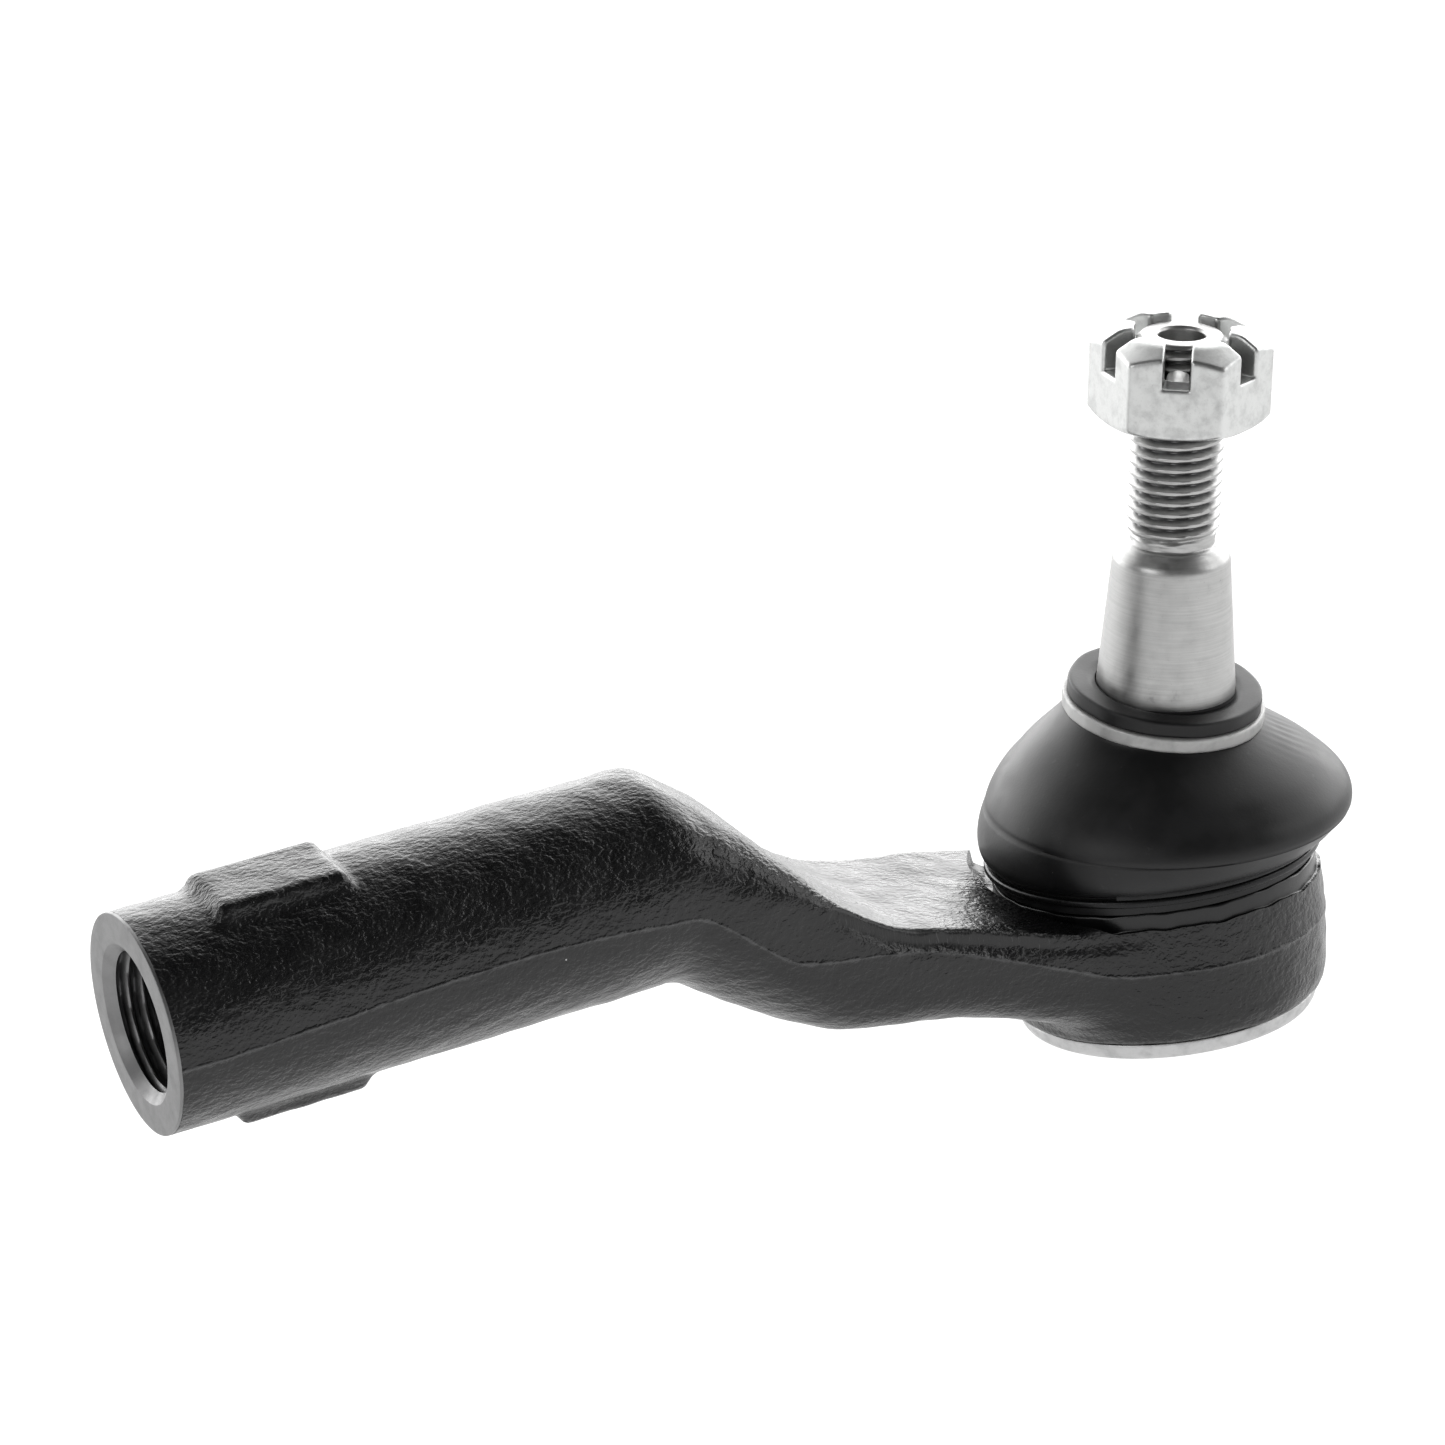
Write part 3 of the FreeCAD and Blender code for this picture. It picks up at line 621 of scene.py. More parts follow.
def waves(points: Array, length: float, seed: int) -> Array:
    """Return a smooth random swell, about one length between its crests.

    Args:
        points: x, y, z rows in millimetres.
        length: wave length in millimetres.
        seed: number that fixes the pattern.

    Returns:
        A value from about minus one to one for each point.
    """
    dice = np.random.default_rng(seed)
    swell = np.zeros(points.shape[:-1])
    for _ in range(6):
        heading = dice.normal(size=3)
        heading *= 2 * math.pi / (length * dice.uniform(0.7, 1.4) * np.linalg.norm(heading))
        swell += np.sin(points @ heading + dice.uniform(0, 2 * math.pi))
    return swell / 3.0


def soft_join(first: Array, second: Array, fillet: float) -> Array:
    """Join two distance fields with a fillet."""
    blend = np.clip(0.5 + 0.5 * (second - first) / fillet, 0, 1)
    return second * (1 - blend) + first * blend - fillet * blend * (1 - blend)


def soft_meet(first: Array, second: Array, round_off: float) -> Array:
    """Keep what two distance fields share, with a rounded edge."""
    return -soft_join(-first, -second, round_off)


def outline_field(radius: Array, height: Array, corners: Sequence[Sequence[float]]) -> Array:
    """Signed distance to a closed outline in radius and height.

    Args:
        radius: distances from the axis.
        height: distances along it.
        corners: the outline's corners in order.

    Returns:
        Negative values inside.
    """
    spots = np.array(corners, float)
    best = np.full(radius.shape, 1e9)
    inside = np.zeros(radius.shape, bool)
    for (r0, h0), (r1, h1) in zip(spots, np.roll(spots, -1, axis=0)):
        dr, dh = r1 - r0, h1 - h0
        share = np.clip(((radius - r0) * dr + (height - h0) * dh) / (dr * dr + dh * dh), 0, 1)
        best = np.minimum(best, (radius - r0 - share * dr) ** 2 + (height - h0 - share * dh) ** 2)
        if h0 != h1:
            crossed = (h0 > height) != (h1 > height)
            inside ^= crossed & (radius < (r1 - r0) * (height - h0) / (h1 - h0) + r0)
    return np.where(inside, -1, 1) * np.sqrt(best)


def skinned_piece(name: str, field: Field, low: Sequence[float], high: Sequence[float], cell: float,
                  settle: int = 2) -> bpy.types.Object:
    """Skin the zero level of a distance field with even quads.

    Args:
        name: the piece's name.
        field: gives the signed distance in millimetres at x, y, z rows.
        low: lowest corner of the space that is searched.
        high: highest corner.
        cell: size of the quads in millimetres.
        settle: rounds of evening out.

    Returns:
        The object, closed and with faces outwards.
    """
    axes = [np.arange(a, b + cell, cell) for a, b in zip(low, high)]
    shape = tuple(len(a) for a in axes)
    value = np.empty(shape)
    for i, x in enumerate(axes[0]):
        slab = np.stack(np.meshgrid([x], axes[1], axes[2], indexing="ij"), axis=-1).reshape(-1, 3)
        value[i] = field(slab).reshape(shape[1:])
    total, hits = np.zeros([n - 1 for n in shape] + [3]), np.zeros([n - 1 for n in shape])
    corners = [(i, j, k) for i in (0, 1) for j in (0, 1) for k in (0, 1)]
    cut = [tuple(slice(c, n - 1 + c) for c, n in zip(corner, shape)) for corner in corners]
    for a in range(8):
        for b in range(a + 1, 8):
            step = np.subtract(corners[b], corners[a])
            if np.abs(step).sum() != 1:
                continue
            start, end = value[cut[a]], value[cut[b]]
            crossed = (start < 0) != (end < 0)
            share = np.where(crossed, start / np.where(crossed, start - end, 1.0), 0)
            total += crossed[..., None] * (np.array(corners[a]) + share[..., None] * step)
            hits += crossed
    used = hits > 0
    number = np.full(used.shape, -1)
    number[used] = np.arange(used.sum())
    origin = np.array([a[0] for a in axes])
    points = origin + cell * (np.argwhere(used) + total[used] / hits[used][:, None])
    faces = []
    for axis in range(3):
        u, v = (axis + 1) % 3, (axis + 2) % 3
        first = value.take(range(shape[axis] - 1), axis)
        second = value.take(range(1, shape[axis]), axis)
        spots = np.argwhere((first < 0) != (second < 0))
        spots = spots[(spots[:, u] > 0) & (spots[:, v] > 0)]
        spots = spots[(spots[:, u] < shape[u] - 1) & (spots[:, v] < shape[v] - 1)]
        ring = []
        for du, dv in ((1, 1), (0, 1), (0, 0), (1, 0)):
            moved = spots.copy()
            moved[:, u] -= du
            moved[:, v] -= dv
            ring.append(number[tuple(moved.T)])
        quads = np.stack(ring, axis=-1)
        outward = first[tuple(spots.T)] < 0
        faces.append(np.where(outward[:, None], quads, quads[:, ::-1]))
    quads = np.vstack(faces)
    edges = np.vstack([quads[:, (k, (k + 1) % 4)] for k in range(4)])
    for turn in range(settle + 1):
        if turn:
            mean, count = np.zeros_like(points), np.zeros(len(points))
            for axis in range(3):
                mean[:, axis] = np.bincount(edges[:, 0], points[edges[:, 1], axis], len(points))
            count = np.bincount(edges[:, 0], minlength=len(points))
            points = points + 0.6 * (mean / np.maximum(count, 1)[:, None] - points)
        for _ in range(3):
            points = points - np.clip(settled_step(field, points), -cell, cell)
    piece = mesh_piece(name, points, quads.tolist())
    face_outwards(piece)
    return piece


def settled_step(field: Field, points: Array) -> Array:
    """Return the step from each point to the field's zero level.

    Args:
        field: the signed distance.
        points: x, y, z rows in millimetres.

    Returns:
        One step for each point.
    """
    reach = 0.02
    slopes = [(field(points + reach * np.eye(3)[k]) - field(points - reach * np.eye(3)[k])) / (2 * reach)
              for k in range(3)]
    slope = np.stack(slopes, axis=-1)
    return field(points)[:, None] * slope / np.maximum((slope ** 2).sum(1), 0.25)[:, None]


def cut_away(piece: bpy.types.Object, cutter: bpy.types.Object) -> None:
    """Cut one mesh out of another exactly and remove the cutter.

    Args:
        piece: the object that loses material.
        cutter: the shape that it loses.
    """
    cut = piece.modifiers.new("cut", "BOOLEAN")
    cut.operation, cut.solver, cut.object = "DIFFERENCE", "EXACT", cutter
    applied(piece)
    bpy.data.objects.remove(cutter)


def applied(piece: bpy.types.Object) -> None:
    """Replace a piece's mesh by what its modifiers make of it."""
    view = bpy.context.evaluated_depsgraph_get()
    mesh = bpy.data.meshes.new_from_object(piece.evaluated_get(view))
    piece.modifiers.clear()
    piece.data = mesh


# ---------------------------------------------------------------- the housing

@dataclass
class Housing:
    """The forging with its bare shank thread and rolled lip, and what closes and fills the eye."""

    shank_radius: float = 11.5
    shank_height: float = 32.8
    mouth: float = 118.4
    face_depth: float = 0.35
    liner_radius: float = 8.35
    thread_crest: float = 7.19
    thread_root: float = 8.02
    thread_end: float = 37.0
    pitch: float = 1.5
    pad_start: float = 8.4
    pad_length: float = 14.2
    pad_half: float = 4.6
    pad_top: float = 12.45
    roll: float = 10.0
    cell: float = 0.52

    # along the arm from the eye: place, top, bottom, offset to the back, half width, lower corner,
    # upper corner, roll
    stations: tuple[tuple[float, ...], ...] = (
        (8.0, 17.4, 4.8, 0.6, 14.0, 4.2, 0.8, 4.0),
        (18.5, 19.0, 6.8, 1.3, 13.5, 4.4, 0.4, 8.0),
        (25.0, 20.8, 9.1, 1.1, 12.6, 4.4, 0.35, 8.0),
        (32.0, 22.5, 10.9, 0.9, 12.1, 4.2, 0.35, 6.5),
        (39.0, 24.75, 12.1, 0.7, 11.8, 4.2, 0.35, 6.8),
        (44.5, 28.65, 12.8, 0.4, 11.5, 5.4, 0.9, 7.5),
        (49.5, 34.0, 14.6, 0.2, 11.4, 7.8, 4.2, 9.0),
        (55.0, 39.4, 17.6, 0.0, 11.4, 9.6, 8.2, 9.5),
        (62.0, 44.1, 21.4, 0.0, 11.35, 10.8, 10.8, 10.0),
        (70.0, 44.1, 21.5, 0.0, 11.3, 10.9, 10.9, 10.0),
    )
    # height of the parting line on the front of the forging
    parting: tuple[tuple[float, float], ...] = (
        (-25.0, 10.8), (8.0, 10.8), (13.9, 11.1), (19.6, 13.4), (27.8, 16.9), (34.5, 19.4), (41.2, 21.0),
        (46.9, 21.7), (50.5, 22.6), (53.9, 25.1), (57.2, 28.0), (60.3, 30.2), (64.0, 30.8), (119.0, 30.8))

    def track(self, column: int, along: Array) -> Array:
        """Follow one size smoothly down the arm.

        Args:
            column: which size of the stations.
            along: distances from the eye's axis.

        Returns:
            The size at each distance.
        """
        table = np.array(self.stations)
        return smooth_curve(table[:, 0], table[:, column], along)

    def parting_distance(self, points: Array) -> Array:
        """Return how far each point is above the forging's parting surface.

        Args:
            points: x, y, z rows in millimetres.

        Returns:
            Distances in millimetres.
        """
        along, table = -points[:, 0], np.array(self.parting)
        height = smooth_curve(table[:, 0], table[:, 1], along)
        slope = (smooth_curve(table[:, 0], table[:, 1], along + 0.5) - height) / 0.5
        lean = np.radians(self.roll) * np.clip((along - 14) / 40, 0, 1) ** 0.7
        rise = (points[:, 1] + 11.2) * np.tan(lean)
        return (points[:, 2] - height - rise) / np.sqrt(1 + slope ** 2)

    def arm_field(self, points: Array) -> Array:
        """Signed distance to the gooseneck and the arm."""
        along = -points[:, 0]
        top, bottom, offset, half, low_corner, high_corner, roll = (self.track(c, along) for c in range(1, 8))
        middle, rise = (top + bottom) / 2, (top - bottom) / 2
        slope = (self.track(1, along + 0.5) + self.track(2, along + 0.5) - top - bottom) / 1.0
        turn = np.radians(roll)
        across, up = points[:, 1] - offset, points[:, 2] - middle
        u = across * np.cos(turn) + up * np.sin(turn)
        v = up * np.cos(turn) - across * np.sin(turn)
        below = rise - v
        flat = np.clip((49 - along) / 6, 0, 1)
        trimmed = 1 - np.clip((below - 1.7) / 1.1, 0, 1)
        drafted = np.clip(below - 3.4, 0, 20) * 0.06 + np.clip(3.9 - below, 0, 4) * 0.10
        half = half + flat * (0.25 - 0.45 * trimmed - drafted)
        corner = np.where(v > 0, high_corner, low_corner)
        qu, qv = np.abs(u) - half + corner, np.abs(v) - rise + corner
        box = np.hypot(np.maximum(qu, 0), np.maximum(qv, 0)) + np.minimum(np.maximum(qu, qv), 0) - corner
        box = box / np.sqrt(1 + np.clip(slope, -1.5, 1.5) ** 2)
        return np.maximum(box, 4 - along)

    def pad_field(self, points: Array) -> Array:
        """Signed distance to the two wrench pads on the shank."""
        along, turn = -points[:, 0], math.radians(self.roll)
        up = points[:, 2] - self.shank_height
        u = points[:, 1] * math.cos(turn) + up * math.sin(turn)
        v = up * math.cos(turn) - points[:, 1] * math.sin(turn)
        middle = self.mouth - self.pad_start - self.pad_length / 2
        edge = 0.65
        slanted = np.clip(np.abs(v) - self.shank_radius, -1, 2) * 0.5
        qx = np.abs(along - middle) - self.pad_length / 2 + edge + slanted
        qu = np.abs(u) - self.pad_half + edge + slanted * 0.6
        qv = np.abs(v) - self.pad_top + edge
        out = np.sqrt(np.maximum(qx, 0) ** 2 + np.maximum(qu, 0) ** 2 + np.maximum(qv, 0) ** 2)
        return out + np.minimum(np.maximum(np.maximum(qx, qu), qv), 0) - edge

    def blank_field(self, points: Array) -> Array:
        """Signed distance to the finished forging, without the shank's bore."""
        radius, height = np.hypot(points[:, 0], points[:, 1]), points[:, 2]
        eye = outline_field(radius, height, (
            (0, 2.2), (16.75, 2.2), (17.3, 2.7), (17.85, 4.2), (18.2, 7.5), (18.45, 10.8), (18.45, 12.5),
            (18.3, 17.6), (0, 17.6)))
        core = np.maximum(radius - 17.2, np.maximum(height - 20.6, 3.0 - height))
        rod = np.hypot(points[:, 1], height - self.shank_height) - self.shank_radius
        share = np.clip((-points[:, 0] - 58) / 7, 0, 1)
        share = share * share * (3 - 2 * share)
        arm = self.arm_field(points) * (1 - share) + rod * share
        blank = soft_join(soft_join(arm, self.pad_field(points), 0.7), eye, 3.0)
        blank = np.minimum(blank, core)
        blank = blank - 0.07 * np.exp(-(self.parting_distance(points) / 0.55) ** 2)
        blank = blank - 0.05 * waves(points, 6.5, 3) - 0.035 * waves(points, 2.6, 8)
        cavity = outline_field(radius, height, (
            (0, -2), (13.96, -2), (13.96, 2.3), (13.2, 2.3), (13.2, 16), (10.2, 19), (10.2, 22), (0, 22)))
        return np.maximum(soft_meet(blank, 2.2 - height, 0.3), -cavity)

    def neck_cutter(self) -> bpy.types.Object:
        """Make the ring-shaped tool that turns the neck, and runs out unevenly on the rough forging.

        Returns:
            The object.
        """
        line = filleted(((20.4, 17.8), (20.4, 30), (16.6, 30), (16.6, 20.55), (16.9, 20.2), (16.6, 19.9),
                         (16.6, 17.55), (17.9, 17.5, 0.25), (17.9, 15.55, 0.25), (19.0, 15.75),
                         (20.4, 17.8)), 0.5)[:-1]
        columns = 288
        angle = directions(columns)[None, :]
        uneven = sum(size * np.sin(waves_round * angle + start) for size, waves_round, start in (
            (0.14, 3, 1), (0.10, 8, 0), (0.09, 19, 0), (0.05, 37, 0)))
        low = np.clip((18.4 - line[:, 1:]) / 1.5, 0, 1) * np.clip((line[:, :1] - 17.0) / 0.8, 0, 1)
        return turned_piece("neck_cutter", UPRIGHT, np.repeat(line[:, :1], columns, 1),
                            line[:, 1:] + uneven * low, True)

    def forging(self) -> bpy.types.Object:
        """Make the black forging, machined at the mouth of the shank.

        Returns:
            The object.
        """
        piece = skinned_piece("housing_forging", self.blank_field, (-121, -21.5, 0.5), (20, 21.5, 46.5),
                              self.cell)
        depth = self.thread_end + 0.05
        line = np.array(((40, -9), (40, self.face_depth), (self.liner_radius, self.face_depth),
                         (self.liner_radius, depth), (self.thread_crest, depth),
                         (self.thread_crest, 40), (0.05, 44)))
        cut_away(piece, spun("shank_cutter", self.shank_spindle(), line, 160, False))
        cut_away(piece, self.neck_cutter())
        smoothed(piece, 50)
        write_attribute(piece, "forging", self.marks(np.array([v.co for v in piece.data.vertices]) / MM))
        return finished(piece, BLACK_COAT, "housing", "coated_forging", "housing")

    def marks(self, points: Array) -> Array:
        """Tell the coat where the parting line, the trimmed edge and the turned faces are.

        Args:
            points: x, y, z rows in millimetres.

        Returns:
            Distance to the parting line, trimmed edge and turned face for each point.
        """
        along, radius = -points[:, 0], np.hypot(points[:, 0], points[:, 1])
        top = self.track(1, along) + points[:, 1] * np.tan(np.radians(self.track(7, along)))
        below = top - points[:, 2]
        band = np.clip((2.0 - below) / 0.3, 0, 1) * np.clip((below - 0.15) / 0.1, 0, 1)
        band *= np.clip((46.5 - along) / 2, 0, 1) * np.clip((along - 20) / 2, 0, 1)
        band *= np.clip((np.abs(points[:, 1]) - 9.6) / 0.4, 0, 1)
        neck = np.clip((20.45 - radius) / 0.3, 0, 1) * np.clip((points[:, 2] - 15.3) / 0.2, 0, 1)
        neck *= (radius < 18.0) | (points[:, 2] > 17.0)
        return np.column_stack((self.parting_distance(points), band, neck))

    def shank_spindle(self) -> Spindle:
        """Return the shank's axis, from its mouth inwards."""
        return Spindle((-self.mouth, 0.0, self.shank_height), (1.0, 0.0, 0.0))

    def shank_thread(self) -> bpy.types.Object:
        """Make the bare end face, the chamfer and the internal thread.

        Returns:
            The object.
        """
        rim = self.shank_radius - 0.03
        face = filleted(((rim, self.face_depth), (rim, 0.0, 0.12), (8.3, 0.0, 0.06), (7.3, 1.05)), 0.5)
        rows = np.arange(1.15, self.thread_end, self.pitch / 12)[:, None]
        columns = 160
        angle = directions(columns)[None, :]
        depth = thread_depth(rows, angle, self.pitch) * np.clip((self.thread_end - rows) / 2, 0, 1)
        thread = self.thread_crest + (1 - depth) * (self.thread_root - self.thread_crest)
        thread = np.maximum(thread, 8.3 - rows)
        back = filleted(((self.thread_crest, self.thread_end), (self.liner_radius, self.thread_end),
                         (self.liner_radius, self.face_depth), (rim, self.face_depth)), 3.0)[:-1]
        radius = np.vstack((np.repeat(face[:, :1], columns, 1), thread, np.repeat(back[:, :1], columns, 1)))
        height = np.vstack((np.repeat(face[:, 1:], columns, 1), np.repeat(rows, columns, 1),
                            np.repeat(back[:, 1:], columns, 1)))
        # Crest sets the painted shade: none on the end face, some in the thread roots, full on the bore
        # beyond the thread.
        crest = np.vstack((np.ones((len(face), columns)), depth, np.zeros((len(back), columns))))
        piece = turned_piece("shank_thread", self.shank_spindle(), radius, height, True, crest)
        rings = np.where(height < 0.3, radius, height)
        round_way = np.broadcast_to(angle, radius.shape)
        turning = np.stack((np.cos(round_way), np.sin(round_way), rings), -1)
        piece.data.attributes["turning"].data.foreach_set("vector", turning.astype(np.float32).ravel())
        smoothed(piece, 40)
        return finished(piece, SHANK_THREAD, "housing", "turned_steel")

    def rolled_lip(self) -> bpy.types.Object:
        """Make the bare lip that is rolled over the cover plate.

        Returns:
            The object.
        """
        line = filleted(((13.96, 2.2), (16.7, 2.2, 0.1), (16.75, 1.9, 0.2), (16.35, 0.8, 0.4),
                         (15.7, 0.15, 0.5), (13.0, 0.15, 0.2), (12.9, 0.9, 0.1), (13.96, 0.9, 0.1),
                         (13.96, 2.2)), 0.35)[:-1]
        columns = 192
        radius = line[:, :1] + 0.03 * np.sin(5 * directions(columns)[None, :] + 1) * (line[:, 1:] < 0.6)
        piece = turned_piece("eye_rolled_lip", UPRIGHT, radius, np.repeat(line[:, 1:], columns, 1), True)
        smoothed(piece)
        return finished(piece, LIP_STEEL, "housing", "turned_steel")

    def cover_plate(self) -> bpy.types.Object:
        """Make the pressed plate that closes the eye.

        Returns:
            The object.
        """
        line = filleted(((0.4, 0.35), (5.2, 0.35, 0.5), (6.0, 0.0, 0.5), (10.2, 0.0, 0.6), (11.1, 0.95, 0.5),
                         (13.9, 0.95, 0.1), (13.9, 2.25, 0.2), (10.5, 2.25, 0.5),
                         (9.6, 1.3, 0.5), (0.4, 1.3)), 0.3)
        piece = spun("cover_plate_pressed", UPRIGHT, line, 160, False)
        smoothed(piece)
        return finished(piece, COVER_ZINC, "housing", "plated_cover", "cover_plate")

    def build(self) -> None:
        """Make every piece that stays with the housing."""
        self.forging()
        self.shank_thread()
        self.rolled_lip()
        self.cover_plate()
        kept = {"bearing_seat": ACETAL, "pressure_cup": ACETAL, "preload_spring": SPRING_STEEL}
        for node, finish in kept.items():
            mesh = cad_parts[node].data
            mesh.materials.clear()
            mesh.materials.append(finish.material())
            log.info("%s: kept from the packed model, %s", node, finish.name)


def smooth_curve(knots: Array, values: Array, where: Array) -> Array:
    """Follow a smooth curve through knots, flat beyond both ends.

    Args:
        knots: increasing places.
        values: the value at each place.
        where: places to read.

    Returns:
        The value at each place that is read.
    """
    slopes = np.gradient(values, knots)
    where = np.clip(where, knots[0], knots[-1])
    i = np.clip(np.searchsorted(knots, where, side="right") - 1, 0, len(knots) - 2)
    width = knots[i + 1] - knots[i]
    t = (where - knots[i]) / width
    a, b = values[i], values[i + 1]
    return ((2 * t ** 3 - 3 * t ** 2 + 1) * a + (t ** 3 - 2 * t ** 2 + t) * width * slopes[i]
            + (3 * t ** 2 - 2 * t ** 3) * b + (t ** 3 - t ** 2) * width * slopes[i + 1])


# ---------------------------------------------------------------- the stud and its nut

@dataclass
class Stud:
    """The ball stud and the slotted nut, which share the leaning axis."""

    ball_height: float = 14.0
    lean: float = 9.9
    heading: float = -65.5
    ball_radius: float = 11.0
    pitch: float = 1.25
    thread_start: float = 42.0
    thread_stop: float = 64.6
    crest_radius: float = 4.98
    root_radius: float = 4.28
    relief_radius: float = 4.6
    pin_hole: float = 1.2
    pin_height: float = 60.9
    nut_heading: float = -126.9
    nut_low: float = 55.4
    nut_high: float = 65.3
    nut_flat: float = 8.5
    nut_bore: float = 5.05
    slot_half: float = 1.4
    slot_floor: float = 61.0

    def direction(self, lean: Optional[float] = None) -> tuple[float, float, float]:
        """Return the direction of a leaning axis.

        Args:
            lean: angle from the eye's axis in degrees; the stud's own if left out.

        Returns:
            A unit vector.
        """
        tilt = math.radians(self.lean if lean is None else lean)
        turn = math.radians(self.heading)
        return math.sin(tilt) * math.cos(turn), math.sin(tilt) * math.sin(turn), math.cos(tilt)

    def spindle(self) -> Spindle:
        """Return the stud's axis, measured from the ball's centre."""
        return Spindle((0.0, 0.0, self.ball_height), self.direction())

    def ball_stud(self) -> bpy.types.Object:
        """Make the ball, the neck, the taper and the thread in one piece.

        Returns:
            The object.
        """
        ball = [(self.ball_radius * math.sin(a), -self.ball_radius * math.cos(a))
                for a in np.radians(np.linspace(2, 147, 60))]
        shaft = filleted((ball[-1], (5.6, 11.2, 1.2), (5.6, 12.5, 1.5), (7.58, 17.0, 1.5), (7.58, 24.9, 0.5),
                          (6.34, 39.9, 0.5), (5.1, 41.35, 0.4), (self.relief_radius, 41.5, 0.2),
                          (self.relief_radius, self.thread_start)), 0.5)[1:]
        rows = np.arange(self.thread_start, self.thread_stop - 0.05, self.pitch / 12)
        end = self.thread_stop
        cap = filleted(((4.2, end - 0.02), (2.75, end, 0.1), (2.5, end - 0.3, 0.1),
                        (2.45, end - 2.1, 0.3), (0.3, end - 2.7)), 0.3)
        columns = 128
        angle = directions(columns)[None, :]
        heights = rows[:, None]
        depth = thread_depth(heights, angle, self.pitch)
        start = np.clip((heights - self.thread_start - 0.2 + 0.35 * np.sin(angle * 2 + 1)) / 1.2, 0, 1)
        thread = self.crest_radius - depth * (self.crest_radius - self.root_radius)
        thread = self.relief_radius + (thread - self.relief_radius) * start
        thread = np.minimum(thread, self.crest_radius - np.maximum(heights - self.thread_stop + 0.75, 0))
        smooth = np.array(ball + shaft.tolist())
        radius = np.vstack((np.repeat(smooth[:, :1], columns, 1), thread, np.repeat(cap[:, :1], columns, 1)))
        height = np.vstack((np.repeat(smooth[:, 1:], columns, 1), np.repeat(heights, columns, 1),
                            np.repeat(cap[:, 1:], columns, 1)))
        # Crest sets the painted shade: none on the smooth stud, some in the thread roots, part on the end and
        # its hole.
        crest = np.vstack((np.ones((len(smooth), columns)), 1 - depth * start,
                           np.full((len(cap), columns), 0.75)))
        worn = (height > 40.4) & (height < 43.4)
        radius = radius + worn * 0.06 * np.sin(5 * angle + 2 * height) * np.sin(3 * angle + 4 * height)
        piece = turned_piece("ball_stud_turned", self.spindle(), radius, height, False, crest)
        turn = math.radians(self.nut_heading)
        across = stud_directions(self.direction()) @ np.array((math.cos(turn), math.sin(turn), 0.0))
        middle = np.array((0, 0, self.ball_height)) + self.pin_height * np.array(self.direction())
        hole = filleted(((self.pin_hole, -9), (self.pin_hole, 9)), 1.0)
        cut_away(piece, spun("pin_drill", Spindle(tuple(middle), tuple(across)), hole, 32, False))
        smoothed(piece, 42)
        return finished(piece, STUD_THREAD, "stud", "turned_steel", "ball_stud")

    def nut_field(self, points: Array) -> Array:
        """Signed distance to the nut in its own upright frame, with a flat facing +X."""
        x, y, z = points[:, 0], points[:, 1], points[:, 2]
        radius, angle = np.hypot(x, y), np.arctan2(y, x)
        side = (angle + math.pi / 6) % (math.pi / 3) - math.pi / 6
        solid = radius * np.cos(side) - self.nut_flat
        second = radius * np.cos(math.pi / 3 - np.abs(side)) - self.nut_flat
        solid = soft_meet(solid, second, 0.35)
        solid = soft_meet(solid, z - self.nut_high, 0.35)
        solid = soft_meet(solid, self.nut_low - z, 0.35)
        solid = soft_meet(solid, ((radius - 6.6) * 0.57 + z - self.nut_high) / 1.151, 0.35)
        solid = soft_meet(solid, ((radius - self.nut_flat) * 0.57 - z + self.nut_low) / 1.151, 0.35)
        solid = soft_meet(solid, self.nut_bore - radius, 0.25)
        slot = soft_meet(np.abs(radius * np.sin(side)) - self.slot_half, self.slot_floor - z, 0.25)
        return soft_meet(solid, -slot, 0.4)

    def slotted_nut(self) -> bpy.types.Object:
        """Make the slotted nut with the soft edges of a plated part.

        Returns:
            The object.
        """
        piece = skinned_piece("slotted_nut_plated", self.nut_field, (-10.4, -10.4, self.nut_low - 0.5),
                              (10.4, 10.4, self.nut_high + 0.5), 0.19)
        place = Matrix(stud_directions(self.direction()).tolist()).to_4x4()
        place.translation = Vector((0, 0, self.ball_height * MM))
        piece.data.transform(place @ Matrix.Rotation(math.radians(self.nut_heading), 4, "Z"))
        smoothed(piece, 50)
        return finished(piece, NUT_ZINC, "nut", "zinc_nut", "slotted_nut")

    def build(self) -> None:
        """Make the stud and the nut."""
        self.ball_stud()
        self.slotted_nut()


def stud_directions(axis: Sequence[float]) -> Array:
    """Return the turn that tips the upright frame onto a leaning axis by the shortest way.

    Args:
        axis: the leaning direction.

    Returns:
        A three by three rotation matrix.
    """
    return np.array(Vector((0, 0, 1)).rotation_difference(Vector(axis)).to_matrix())


# ---------------------------------------------------------------- the boot, its ring and its clip

class Wind(Enum):
    """The way that a spring clip is wound."""

    RIGHT_HAND = 1
    LEFT_HAND = -1


